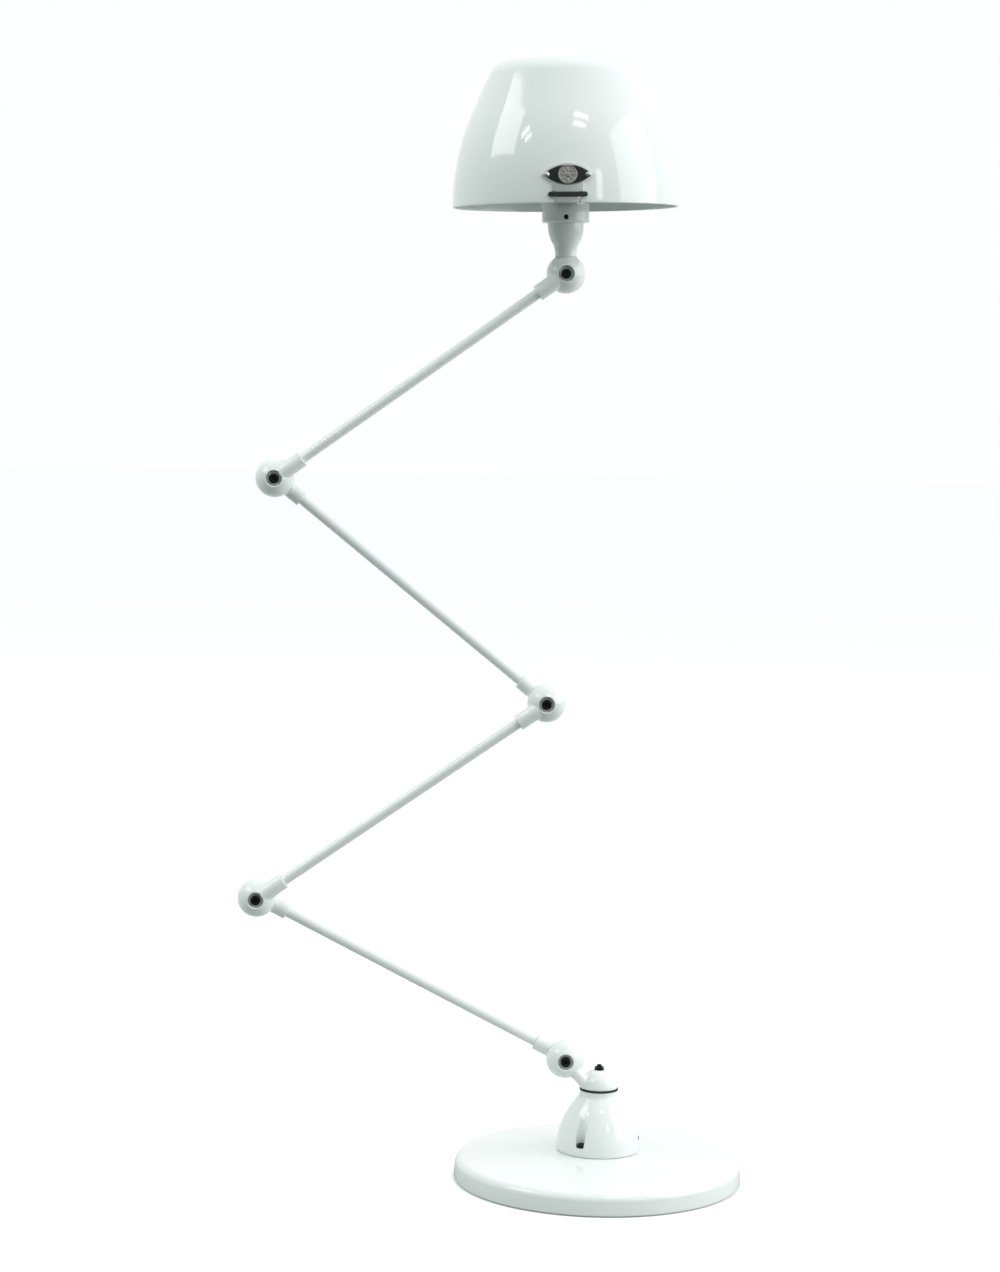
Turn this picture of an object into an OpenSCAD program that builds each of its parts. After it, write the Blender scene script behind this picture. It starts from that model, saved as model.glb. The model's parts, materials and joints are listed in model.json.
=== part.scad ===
// Adjustable arm floor lamp: a heavy round base, a swivelling elbow on a bell casting, four equal
// tubular arms and a lamp head. Each joint is two half-ball shells clamped by one socket-head bolt.
// +Z is up, -Y is the front. The origin is the centre of the underside. Millimetres.

/* [Base plate] */
// Diameter of the base plate
base_d = 248; // [200:1:320]
// Height of the plate's rim, from the floor to the top of its rounded edge
base_rim_h = 19; // [17:0.5:30]
// Radius of the rim's rounded upper edge
base_round = 7; // [5:0.5:13]
// How far the rim's side leans inwards from upright
base_draft = 5; // [0:0.5:8]
// How far the top rises from the rim to the bell
base_rise = 7; // [3:0.5:12]
// Thickness of the anti-slip pad
pad_t = 2; // [1.2:0.1:3]
// How far the pad stands out below the plate
pad_proud = 0.8; // [0.4:0.1:1]
// Distance from the plate's edge to the pad's edge
pad_inset = 12; // [8:1:30]

/* [Cord inlet] */
// Bore of the inlet grommet
inlet_bore_d = 7.5; // [6:0.1:9]
// Outside diameter of the grommet
inlet_d = 11; // [10.6:0.1:12]
// Diameter of the grommet's flange
inlet_flange_d = 15; // [14:0.5:16]
// Length of the grommet
inlet_len = 14; // [10:1:20]
// Height of the inlet above the floor
inlet_z = 9.5; // [9:0.1:10]

/* [Bell] */
// Diameter of the bell's foot
bell_foot_d = 71.6; // [66:0.1:84]
// Height of the bell
bell_h = 52.4; // [48:0.1:64]
// Diameter of the bell's neck
bell_neck_d = 33; // [31:0.5:36]
// Radius of the bell's convex side
bell_side_r = 67.7; // [62:0.1:80]
// Radius of the hollow curve below the neck
bell_hollow_r = 8; // [5:0.5:10]
// Radius of the hollow inside
bell_inside_r = 19; // [14:0.5:20]
// Height of the hollow inside
bell_inside_h = 34; // [26:0.5:36]
// Distance of the foot screws from the axis
foot_screw_r = 32.2; // [29:0.1:33]
// Diameter of the screwdriver channels above the foot screws
channel_d = 9; // [8:0.1:9.4]
// Thickness of the foot under the screw heads
foot_t = 8; // [3:0.5:9]
// Angle of the first channel from the front, towards the left
channel_angle = 27.5; // [0:0.5:60]

/* [Swivel] */
// Thickness of the ring between the bell and the swivel cap
swivel_gap = 1.8; // [1.2:0.1:3]
// Diameter of the swivel cap
cap_d = 32.4; // [30:0.1:34]
// Diameter of the swivel stud
stud_d = 4; // [4:0.5:6]
// Distance of the lowest ball joint from the swivel axis
elbow_reach = 29.5; // [27:0.5:45]
// Height of the lowest ball joint above the cap's rim
elbow_rise = 24.3; // [22:0.1:40]
// Diameter of the elbow's neck
elbow_neck_d = 10.5; // [9:0.5:12]

/* [Ball joints] */
// Diameter of the ball joints
ball_d = 33; // [32:0.5:38]
// Gap between the two half-ball shells
shell_gap = 0.6; // [0.4:0.1:1]
// Radius of the pocket inside each shell
pocket_r = 12.6; // [11:0.1:13]
// Depth of the pocket from the middle of the ball
pocket_depth = 6.5; // [6:0.1:7]
// Outside diameter of the sleeve that holds the arm tube
sleeve_d = 14; // [12.5:0.1:15]
// Distance from the ball's centre to the sleeve's end
sleeve_reach = 29; // [25:0.5:40]
// Distance of the sleeve's axis from the middle of the ball
sleeve_offset = 8; // [7.8:0.1:8.4]
// Diameter of the clamp bolt
bolt_d = 5; // [4:0.1:6]
// Diameter of the clamp bolt's head
bolt_head_d = 8.6; // [8.5:0.1:10.5]
// Height of the clamp bolt's head
bolt_head_h = 4.5; // [4:0.1:5]
// Diameter of the recess for the bolt head
bolt_recess_d = 13; // [11.5:0.1:14]
// Distance of the bolt head's seat from the middle of the ball
bolt_seat = 10.5; // [9.5:0.1:11]

/* [Arms] */
// Length of each arm between joint centres
arm_len = 300; // [180:5:450]
// Outside diameter of the arm tubes
tube_d = 9; // [8:0.1:10]
// Wall of the arm tubes
tube_wall = 1; // [0.8:0.1:1.5]
// Diameter of the lead inside the arms
lead_d = 4; // [3:0.1:4.4]

/* [Pose] */
// Direction of arm 1 above the horizontal
angle_1 = 153.2; // [20:0.1:175]
// Direction of arm 2 above the horizontal
angle_2 = 35.2; // [20:0.1:160]
// Direction of arm 3 above the horizontal
angle_3 = 141.3; // [20:0.1:160]
// Direction of arm 4 above the horizontal
angle_4 = 36; // [20:0.1:160]
// How far the lamp head leans to the left
head_lean = 1.5; // [-20:0.1:20]

/* [Head] */
// Height of the cup's lower edge above the top joint
cup_z = 24.5; // [22:0.5:32]
// Height of the collar's lower edge above the top joint
collar_z = 42.5; // [40:0.5:60]
// Height of the collar
collar_h = 15.3; // [12:0.1:24]
// Diameter of the collar
collar_d = 40; // [39:0.5:44]
// Diameter of the cup under the collar
cup_d = 30.6; // [28:0.1:31]
// Diameter of the neck where it meets the cup
neck_top_d = 20.6; // [18:0.1:23]
// Diameter of the neck at the ball
neck_low_d = 18; // [16:0.1:20]
// Diameter of the collar's grub screw
grub_d = 4; // [3:0.1:5]

/* [Lampholder and bulb] */
// Outside diameter of the lampholder
holder_d = 34.8; // [33:0.1:36]
// Height of the lampholder
holder_h = 38; // [34:0.5:50]
// Bore of the lampholder
holder_bore_d = 27.6; // [27:0.1:28]
// Depth of the lampholder's bore
holder_bore_depth = 26; // [20:0.5:30]
// Height of the shade ring
ring_h = 6; // [4:0.5:9]
// Width of the shade ring's wall
ring_wall = 4.5; // [3:0.5:7]
// Diameter of the bulb's cap
bulb_cap_d = 26.4; // [26:0.1:27]
// Diameter of the bulb's glass
bulb_d = 60; // [45:1:62]
// Length of the bulb with its cap
bulb_len = 103; // [90:1:108]

/* [Shade] */
// Diameter of the shade's rim
shade_d = 190; // [170:1:230]
// Height of the shade
shade_h = 124; // [115:1:150]
// Height of the rim above the top joint
rim_z = 55.5; // [53:0.5:57]
// Wall of the shade
shade_wall = 1.2; // [0.8:0.1:2]
// Radius of the shade's curved side
side_r = 190; // [150:1:260]
// Lean of the side where it runs straight
side_lean = 24.5; // [15:0.5:30]
// Radius of the shoulder
shoulder_r = 19.5; // [12:0.5:30]
// How far the top rises from the shoulder to the middle
top_rise = 2.6; // [1:0.1:8]

/* [Bracket and nameplate] */
// Thickness of the steel bracket
strap_t = 1.5; // [1:0.1:2]
// Width of the bracket's tongue
tongue_w = 18; // [12:1:24]
// Width of the bracket's leaf above the buffer
leaf_w = 26; // [20:1:34]
// Height of the rim's notch for the bracket
notch_h = 5.5; // [4:0.5:9]
// Width of the rim's notch
notch_w = 22; // [20:1:30]
// Height of the rubber buffer's lower edge above the rim
buffer_z = 4.8; // [4:0.1:9]
// Length of the rubber buffer
buffer_w = 32.4; // [28:0.1:40]
// Height of the rubber buffer
buffer_h = 4; // [3:0.1:6]
// Thickness of the rubber buffer
buffer_t = 2.2; // [1.5:0.1:4]
// Height of the nameplate's middle above the rim
plate_z = 22.6; // [20:0.1:34]
// Width of the nameplate, tip to tip
plate_w = 40.6; // [36:0.1:50]
// Height of the nameplate
plate_h = 16.5; // [14:0.1:20]
// Thickness of the nameplate
plate_t = 1; // [0.6:0.1:1.6]
// Diameter of the raised medallion
medal_d = 16.6; // [12:0.1:18]
// Distance between the nameplate's two screws
plate_pitch = 34; // [30:0.1:40]

/* [Fits] */
// Radial clearance of a shaft that turns in a hole
running_fit = 0.1; // [0.02:0.01:0.1]
// Radial clearance of a part that is fixed in a hole
fixed_fit = 0.05; // [0.02:0.01:0.1]
// Gap between flat faces that turn on each other
face_gap = 0.05; // [0.02:0.01:0.1]
// Gap between a skin and what lies against it
skin_gap = 0.1; // [0.05:0.01:0.3]

/* [Hidden] */
$fn = 96;

enamel = "#eef3f1";
black = "#17181a";
steel = "#b9bdbf";
brass = "#b8963f";
rubber = "#202122";
bakelite = "#3a2a22";
glass = "#f7f6f0";

front = -1;
rear = 1;
eps = 0.01;

// Heights on the swivel axis
base_top = base_rim_h + base_rise;
bell_top = base_top + bell_h;
cap_z = bell_top + swivel_gap;
cap_r = cap_d / 2;
nut_spot_r = 5.2;
nut_flange_r = 4.2;
nut_flange_t = 0.8;
nut_t = 2.4;
nut_chamfer = 0.8;
stud_proud = 1.6;
nut_seat = cap_z + sqrt(cap_r * cap_r - nut_spot_r * nut_spot_r);

// Joint centres, from the base to the head
function along(a) = [cos(a), 0, sin(a)];
joint_0 = [-elbow_reach, 0, cap_z + elbow_rise];
joint_1 = joint_0 + arm_len * along(angle_1);
joint_2 = joint_1 + arm_len * along(angle_2);
joint_3 = joint_2 + arm_len * along(angle_3);
joint_4 = joint_3 + arm_len * along(angle_4);

// Inside of the ball joints
ball_r = ball_d / 2;
shell_face = shell_gap / 2;
socket_floor = 17;
lead_hole_start = 8;
bolt_end = 13;
disc_t = 2.5;
track_t = 0.5;
disc_play = 0.4;
pin_r = 1;
track_r = [5.75, 9.75];
track_w = 1.5;
washer_play = 0.4;

// Inside of the head
flange_z = collar_z + 2.5;
flange_h = 4;
flange_r = holder_d / 2 + 0.2;
collar_top = collar_z + collar_h;
holder_z = flange_z + flange_h;
holder_top = holder_z + holder_h;
bore_z = holder_top - holder_bore_depth;
contact_t = 1;
strap_top = collar_top + strap_t;
grub_z = collar_z + 4.5;

// Points of an arc about c, from angle a0 to a1
function arc(c, r, a0, a1, n) =
    [for (i = [0:n]) let (a = a0 + (a1 - a0) * i / n) c + r * [cos(a), sin(a)]];

// A rod of radius r from point a to point b
module rod(a, b, r) {
    v = b - a;
    translate(a)
        rotate([0, acos(v[2] / norm(v)), atan2(v[1], v[0])])
            cylinder(r = r, h = norm(v));
}

// Places its children with their +Z along Y: towards the front, or towards the rear
module facing(side) {
    rotate([side == front ? 90 : -90, 0, 0]) children();
}

// ---------- Base ----------

// Leaning side, rounded edge and low cone of the plate, as an outline of radius and height
function plate_outline() =
    let (r = base_d / 2,
         c_z = base_rim_h - base_round,
         side_top = c_z + base_round * sin(base_draft),
         side_lean = (side_top - pad_proud) * tan(base_draft),
         c = [r - side_lean - base_round * cos(base_draft), c_z])
    concat([[0, pad_proud], [r, pad_proud]],
           arc(c, base_round, base_draft, 86, 14),
           [[bell_foot_d / 2 + 1, base_top], [0, base_top]]);

module cord_channel() {
    inlet_end = base_d / 2;
    channel_r = inlet_bore_d / 2 + 0.6;
    spot_face = 3;
    // Drilled from the rear rim to below the bell
    translate([0, bell_inside_r / 2, inlet_z])
        rotate([-90, 0, 0]) cylinder(r = channel_r, h = inlet_end);
    translate([0, inlet_end - spot_face - inlet_len, inlet_z])
        rotate([-90, 0, 0]) cylinder(d = inlet_d + 2 * fixed_fit, h = inlet_len + 2 * spot_face);
    translate([0, inlet_end - spot_face, inlet_z])
        rotate([-90, 0, 0]) cylinder(d = inlet_flange_d + 0.4, h = 2 * spot_face);
    translate([0, bell_inside_r / 2, inlet_z])
        cylinder(r = channel_r, h = base_top);
}

// Puts its children at the foot screws, on the plate's top
module at_foot_screws() {
    for (k = [0:2])
        rotate([0, 0, 270 - channel_angle + 120 * k])
            translate([foot_screw_r, 0, base_top]) children();
}

screw_r = 2;
screw_depth = 9;
screw_head_r = 3.5;
screw_head_h = 3.5;

module base_plate() {
    pad_recess_r = base_d / 2 - pad_inset + 0.3;
    color(enamel)
        difference() {
            rotate_extrude($fn = 180) polygon(plate_outline());
            translate([0, 0, -eps]) cylinder(r = pad_recess_r, h = pad_t + eps, $fn = 180);
            cord_channel();
            at_foot_screws()
                translate([0, 0, -screw_depth]) cylinder(r = screw_r + fixed_fit, h = 2 * screw_depth);
        }
}

module base_pad() {
    color(rubber) cylinder(r = base_d / 2 - pad_inset, h = pad_t, $fn = 180);
}

module cord_grommet() {
    flange_t = 2;
    color(rubber)
        translate([0, base_d / 2 - 3, inlet_z])
            rotate([-90, 0, 0])
                difference() {
                    union() {
                        cylinder(d = inlet_flange_d, h = flange_t);
                        translate([0, 0, -inlet_len]) cylinder(d = inlet_d, h = inlet_len + eps);
                    }
                    translate([0, 0, -inlet_len - 1])
                        cylinder(d = inlet_bore_d, h = inlet_len + flange_t + 2);
                }
}

// Bell outline: a convex side, a hollow curve and a straight neck
function bell_outline() =
    let (foot_r = bell_foot_d / 2,
         neck_r = bell_neck_d / 2,
         side_c = [foot_r - bell_side_r, base_top],
         hollow_x = neck_r + bell_hollow_r,
         reach = bell_side_r + bell_hollow_r,
         rise = sqrt(pow(reach, 2) - pow(hollow_x - side_c[0], 2)),
         meet = atan2(rise, hollow_x - side_c[0]),
         hollow_c = [hollow_x, base_top + rise])
    concat([[0, base_top], [foot_r - 0.6, base_top]],
           arc(side_c, bell_side_r, 0.6, meet, 16),
           arc(hollow_c, bell_hollow_r, 180 + meet, 180, 6),
           [[neck_r, bell_top], [0, bell_top]]);

module bell() {
    color(enamel)
        difference() {
            rotate_extrude() polygon(bell_outline());
            translate([0, 0, base_top - 1]) cylinder(r = bell_inside_r, h = bell_inside_h + 1);
            cylinder(d = stud_d + 2 * fixed_fit, h = bell_top + 1);
            translate([0, 0, bell_top - pocket_depth]) cylinder(r = pocket_r, h = pocket_depth + 1);
            at_foot_screws() {
                translate([0, 0, foot_t]) cylinder(d = channel_d, h = bell_h);
                translate([0, 0, -1]) cylinder(r = screw_r + 0.3, h = foot_t + 2);
            }
        }
}

module bell_screws() {
    hex_r = 2;
    color(black)
        at_foot_screws()
            difference() {
                union() {
                    translate([0, 0, foot_t]) cylinder(r = screw_head_r, h = screw_head_h);
                    translate([0, 0, -screw_depth]) cylinder(r = screw_r, h = screw_depth + foot_t + eps);
                }
                translate([0, 0, foot_t + screw_head_h - 2]) cylinder(r = hex_r, h = 3, $fn = 6);
            }
}

// ---------- Swivel ----------

module swivel_stud() {
    head_h = 5;
    head_r = 6;
    top = nut_seat + nut_flange_t + nut_t + stud_proud;
    head_z = base_top + bell_inside_h;
    color(black) {
        translate([0, 0, head_z - head_h]) cylinder(r = head_r, h = head_h, $fn = 6);
        translate([0, 0, head_z - eps]) cylinder(d = stud_d, h = top - head_z);
    }
}

module swivel_washer() {
    color(black)
        translate([0, 0, bell_top])
            difference() {
                cylinder(r = bell_neck_d / 2 + 0.2, h = swivel_gap - face_gap);
                translate([0, 0, -1]) cylinder(r = pocket_r + washer_play, h = swivel_gap + 2);
            }
}

module swivel_nut() {
    nut_d = stud_d + 4;
    shoulder = nut_flange_t + nut_t - nut_chamfer;
    color(black)
        translate([0, 0, nut_seat + face_gap])
            difference() {
                union() {
                    cylinder(r = nut_flange_r, h = nut_flange_t);
                    cylinder(d = nut_d, h = shoulder + eps, $fn = 6);
                    translate([0, 0, shoulder])
                        cylinder(d1 = nut_d, d2 = nut_d - 2 * nut_chamfer, h = nut_chamfer, $fn = 6);
                }
                translate([0, 0, -1]) cylinder(d = stud_d + 2 * fixed_fit, h = nut_flange_t + nut_t + 2);
            }
}

// Insulating disc with two raised contact tracks; its back is at z = 0 and its tracks face +Z
module contact_disc(hole_r) {
    color(bakelite)
        difference() {
            union() {
                cylinder(r = pocket_r - disc_play, h = disc_t);
                for (r = track_r)
                    difference() {
                        cylinder(r = r + track_w / 2, h = disc_t + track_t);
                        translate([0, 0, -1]) cylinder(r = r - track_w / 2, h = disc_t + track_t + 2);
                    }
            }
            translate([0, 0, -1]) cylinder(r = hole_r, h = disc_t + 2);
        }
}

// Insulating disc with two brushes that reach across to the tracks
module brush_disc(hole_r, reach) {
    color(brass)
        difference() {
            union() {
                cylinder(r = pocket_r - disc_play, h = disc_t);
                for (k = [0, 1])
                    rotate([0, 0, 180 * k]) translate([track_r[k], 0, 0]) cylinder(r = pin_r, h = reach);
            }
            translate([0, 0, -1]) cylinder(r = hole_r, h = disc_t + 2);
        }
}

module swivel_contact_disc() {
    translate([0, 0, bell_top - pocket_depth]) contact_disc(stud_d / 2 + 0.6);
}

module swivel_brush_disc() {
    reach = 2 * pocket_depth + swivel_gap - disc_t - track_t - running_fit;
    translate([0, 0, cap_z + pocket_depth]) mirror([0, 0, 1]) brush_disc(stud_d / 2 + 0.6, reach);
}

module swivel_elbow() {
    neck_low = [-elbow_reach * 0.28, -5, cap_z];
    color(enamel)
        difference() {
            union() {
                difference() {
                    union() {
                        translate([0, 0, cap_z]) sphere(r = cap_r);
                        rod(joint_0 + [0, -sleeve_offset, 0], neck_low, elbow_neck_d / 2);
                    }
                    translate([0, 0, cap_z - 2 * cap_r]) cylinder(r = 2 * cap_d, h = 2 * cap_r);
                }
                translate(joint_0) half_ball(front);
            }
            translate(joint_0) half_ball_inside(front);
            translate([0, 0, cap_z - 1]) cylinder(r = pocket_r, h = pocket_depth + 1);
            translate([0, 0, cap_z - 1]) cylinder(d = stud_d + 2 * running_fit, h = cap_d);
            translate([0, 0, nut_seat]) cylinder(r = nut_spot_r, h = cap_r);
        }
}

// ---------- Ball joints, about their own centre with the bolt along Y ----------

// Solid half of the ball on one side of the parting plane
module half_ball(side) {
    facing(side)
        intersection() {
            sphere(r = ball_r);
            translate([0, 0, shell_face]) cylinder(r = ball_d, h = ball_r);
        }
}

// What is cut out of a half: its pocket, the bolt's bore, and in front the bolt head's recess
module half_ball_inside(side) {
    chamfer = 1;
    facing(side) {
        cylinder(r = pocket_r, h = pocket_depth);
        if (side == front) {
            cylinder(r = bolt_d / 2 + running_fit, h = ball_r);
            translate([0, 0, bolt_seat]) cylinder(d = bolt_recess_d, h = ball_r);
            rim = sqrt(ball_r * ball_r - bolt_recess_d * bolt_recess_d / 4);
            translate([0, 0, rim - chamfer])
                cylinder(d1 = bolt_recess_d, d2 = bolt_recess_d + 4 * chamfer, h = 2 * chamfer);
        } else {
            cylinder(r = bolt_d / 2 + fixed_fit, h = bolt_end);
        }
    }
}

// Half-ball shell with the sleeve for an arm tube along +X
module sleeve_shell(side) {
    color(enamel)
        difference() {
            union() {
                half_ball(side);
                translate([lead_hole_start, side * sleeve_offset, 0])
                    rotate([0, 90, 0]) cylinder(d = sleeve_d, h = sleeve_reach - lead_hole_start);
            }
            half_ball_inside(side);
            translate([socket_floor, side * sleeve_offset, 0])
                rotate([0, 90, 0]) cylinder(d = tube_d + 2 * fixed_fit, h = sleeve_reach);
            translate([lead_hole_start, side * sleeve_offset, 0])
                rotate([0, 90, 0]) cylinder(d = lead_d + 2 * fixed_fit, h = sleeve_reach);
        }
}

module joint_bolt() {
    hex_r = 2.3;
    color(black)
        facing(front)
            difference() {
                union() {
                    translate([0, 0, bolt_seat + face_gap]) cylinder(d = bolt_head_d, h = bolt_head_h);
                    translate([0, 0, -bolt_end]) cylinder(d = bolt_d, h = bolt_end + bolt_seat + 1);
                }
                translate([0, 0, bolt_seat + bolt_head_h - 2.5]) cylinder(r = hex_r, h = 4, $fn = 6);
            }
}

module joint_washer() {
    washer_t = shell_gap - 2 * face_gap;
    color(black)
        facing(front)
            translate([0, 0, -shell_face])
                difference() {
                    cylinder(r = ball_r - washer_play, h = washer_t);
                    translate([0, 0, -1]) cylinder(r = pocket_r + washer_play, h = washer_t + 2);
                }
}

module joint_contact_disc() {
    facing(front) translate([0, 0, pocket_depth]) mirror([0, 0, 1]) contact_disc(bolt_d / 2 + 0.6);
}

module joint_brush_disc() {
    reach = 2 * pocket_depth - disc_t - track_t - running_fit;
    facing(rear) translate([0, 0, pocket_depth]) mirror([0, 0, 1]) brush_disc(bolt_d / 2 + 0.6, reach);
}

// ---------- Arms, each from its lower joint with the arm along +X ----------

// Puts its children at joint c, turned to the arm's direction
module on_arm(c, a) {
    translate(c) rotate([0, -a, 0]) children();
}

module arm_tube(side) {
    color(enamel)
        translate([socket_floor, side * sleeve_offset, 0])
            rotate([0, 90, 0])
                difference() {
                    cylinder(d = tube_d, h = arm_len - 2 * socket_floor);
                    translate([0, 0, -1]) cylinder(d = tube_d - 2 * tube_wall, h = arm_len);
                }
}

module upper_shell(side) {
    translate([arm_len, 0, 0]) rotate([0, 180, 0]) sleeve_shell(side);
}

module arm_lead(side) {
    start = pocket_r;
    color(black)
        translate([start, side * sleeve_offset, 0])
            rotate([0, 90, 0]) cylinder(d = lead_d, h = arm_len - 2 * start);
}

// ---------- Head, about the top joint with the neck along +Z ----------

module on_head() {
    translate(joint_4) rotate([0, -head_lean, 0]) children();
}

// Neck and cup outline, up to the flange inside the collar
function cup_outline() =
    let (n = 10, low_r = neck_top_d / 2, swell = cup_d / 2 - low_r, rise = collar_z - cup_z)
    concat([[0, 6], [neck_low_d / 2, 6], [neck_low_d / 2, 14]],
           [for (i = [0:n]) [low_r + swell * sin(90 * pow(i / n, 0.75)), cup_z + rise * i / n]],
           [[cup_d / 2, flange_z], [flange_r, flange_z], [flange_r, holder_z], [0, holder_z]]);

module head_neck() {
    cup_floor = 6;
    color(enamel)
        on_head()
            difference() {
                union() {
                    half_ball(rear);
                    difference() {
                        rotate_extrude() polygon(cup_outline());
                        // Room for the front half-ball, which turns here
                        intersection() {
                            sphere(r = ball_r + 0.5);
                            translate([-ball_d, -2 * ball_d + shell_face, -ball_d]) cube(2 * ball_d);
                        }
                    }
                }
                half_ball_inside(rear);
                translate([0, 0, cup_z + cup_floor]) cylinder(d = cup_d - 8, h = holder_z);
                translate([0, 0, 15]) cylinder(d = lead_d + 2 * fixed_fit, h = cup_z);
                rod([0, pocket_depth - 2, 8], [0, 0, 20], lead_d / 2);
            }
}

module collar() {
    bevel = 0.8;
    lip_r = cup_d / 2 + skin_gap;
    bore_r = flange_r + skin_gap;
    color(enamel)
        on_head()
            difference() {
                rotate_extrude()
                    polygon([[lip_r, collar_z], [collar_d / 2 - bevel, collar_z],
                             [collar_d / 2, collar_z + bevel], [collar_d / 2, collar_top],
                             [bore_r, collar_top], [bore_r, flange_z], [lip_r, flange_z]]);
                translate([0, 0, grub_z]) facing(front) cylinder(d = grub_d + 2 * fixed_fit, h = collar_d);
                translate([0, 0, grub_z])
                    facing(front)
                        translate([0, 0, collar_d / 2 - 0.5]) cylinder(d = grub_d + 2.6, h = 2);
            }
}

module collar_screw() {
    color(black)
        on_head()
            translate([0, 0, grub_z])
                facing(front)
                    difference() {
                        translate([0, 0, flange_r + skin_gap / 2])
                            cylinder(d = grub_d, h = collar_d / 2 - flange_r - 0.6);
                        translate([0, 0, collar_d / 2 - 1.6]) cylinder(r = 1.2, h = 2, $fn = 6);
                    }
}

module lampholder() {
    floor_t = 4;
    color("#e9ebe8")
        on_head()
            difference() {
                translate([0, 0, holder_z]) cylinder(d = holder_d, h = holder_h);
                translate([0, 0, bore_z]) cylinder(d = holder_bore_d, h = holder_bore_depth + 1);
                translate([0, 0, holder_z - 1]) cylinder(d = lead_d + 2, h = holder_h);
                translate([0, 0, holder_z - 1])
                    cylinder(d = cup_d - 8, h = bore_z - holder_z - floor_t + 1);
            }
}

module lampholder_contacts() {
    stem_r = lead_d / 2 + 0.8;
    color(brass)
        on_head() {
            translate([0, 0, bore_z]) cylinder(r = holder_bore_d / 2 - 4, h = contact_t);
            translate([0, 0, bore_z - 6]) cylinder(r = stem_r, h = 6 + eps);
        }
}

module shade_ring() {
    in_r = holder_d / 2 + fixed_fit;
    color("#e9ebe8")
        on_head()
            translate([0, 0, strap_top])
                difference() {
                    cylinder(r = in_r + ring_wall, h = ring_h);
                    translate([0, 0, -1]) cylinder(r = in_r, h = ring_h + 2);
                    for (a = [0:30:330])
                        rotate([0, 0, a]) translate([in_r + ring_wall, 0, -1]) cylinder(r = 1.2, h = ring_h + 2);
                }
}

// Bulb: cap, flare and round glass
cap_len = 25;
bulb_z = bore_z + contact_t;

module bulb_cap() {
    tip_h = 3;
    wall = 0.8;
    color(brass)
        on_head()
            translate([0, 0, bulb_z])
                difference() {
                    union() {
                        cylinder(r1 = 4, r2 = 9, h = tip_h + eps);
                        translate([0, 0, tip_h]) cylinder(d = bulb_cap_d, h = cap_len - tip_h);
                    }
                    translate([0, 0, tip_h + 1]) cylinder(d = bulb_cap_d - 2 * wall, h = cap_len);
                }
}

// Line of the glass at a distance d inside its outer surface, from the cap to the top
function bulb_line(d) =
    let (r = bulb_d / 2, c_z = bulb_len - r, neck_r = bulb_cap_d / 2 - 0.4, a0 = -35,
         flare = [r * cos(a0), c_z + r * sin(a0)])
    concat([[neck_r - d, cap_len]],
           [for (i = [1:8]) let (t = i / 9)
               [neck_r - d + (flare[0] - neck_r) * pow(sin(90 * t), 1.6),
                cap_len + (flare[1] - cap_len) * t]],
           arc([0, c_z], r - d, a0, 90, 20));

module bulb_glass() {
    glass_wall = 1;
    color(glass)
        on_head()
            translate([0, 0, bulb_z])
                rotate_extrude() polygon(concat(bulb_line(0), reversed(bulb_line(glass_wall))));
}

// ---------- Shade ----------

// Side of the shade at a distance d outside its outer surface: the arc's centre is level with the rim
side_c = [shade_d / 2 - side_r, 0];

// Outline of the shade's outer surface, moved outwards by d, from the rim to the middle of the top
function shade_line(d) =
    let (s = shoulder_r,
         side_end = side_c + side_r * [cos(side_lean), sin(side_lean)],
         run = [-sin(side_lean), cos(side_lean)],
         // The shoulder's centre lies on a line beside the straight side, below the top's edge
         shoulder_z = shade_h - top_rise - s,
         t = (shoulder_z - side_end[1] + s * sin(side_lean)) / run[1],
         shoulder_c = side_end + t * run - s * [cos(side_lean), sin(side_lean)],
         // The top is an arc that meets the shoulder without a crease
         edge = atan2(2 * shoulder_c[0] * top_rise, pow(shoulder_c[0], 2) - pow(top_rise, 2)),
         top_r = shoulder_c[0] / sin(edge) + s,
         top_c = [0, shoulder_c[1] - (top_r - s) * cos(edge)])
    concat(arc(side_c, side_r + d, 0, side_lean, 12),
           arc(shoulder_c, s + d, side_lean, 90 - edge, 10),
           arc(top_c, top_r + d, 90 - edge, 90, 8));

function reversed(p) = [for (i = [len(p) - 1:-1:0]) p[i]];

// Skin between two distances outside the side of the shade, from the rim up to height h
module side_skin(d0, d1, h) {
    a = asin(h / side_r);
    translate([0, 0, rim_z])
        rotate_extrude($fn = 180)
            polygon(concat(arc(side_c, side_r + d1, 0, a, 8), arc(side_c, side_r + d0, a, 0, 8)));
}

// Lens shape across the front, w by h, made of two arcs
module lens(w, h) {
    r = (w * w + h * h) / (4 * h);
    intersection() {
        translate([0, r - h / 2]) circle(r = r);
        translate([0, h / 2 - r]) circle(r = r);
    }
}

// Prism from a flat shape, pointing to the front at the shade's side, at height z above the rim
module front_prism(z) {
    translate([0, -shade_d / 2 + 12, rim_z + z])
        rotate([90, 0, 0]) linear_extrude(height = 30) children();
}

module at_plate_screws() {
    for (x = [-plate_pitch / 2, plate_pitch / 2])
        translate([x, 0, rim_z + plate_z]) facing(front) children();
}

plate_screw_r = 1.5;

module plate_screw_holes() {
    at_plate_screws()
        translate([0, 0, shade_d / 2 - 20]) cylinder(r = plate_screw_r + fixed_fit, h = 40);
}

module shade() {
    color(enamel)
        on_head()
            difference() {
                translate([0, 0, rim_z])
                    rotate_extrude($fn = 180)
                        polygon(concat(shade_line(0), reversed(shade_line(-shade_wall))));
                translate([-notch_w / 2, -shade_d, rim_z - 1]) cube([notch_w, shade_d, notch_h + 1]);
                plate_screw_holes();
            }
}

// ---------- Bracket and nameplate ----------

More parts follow.
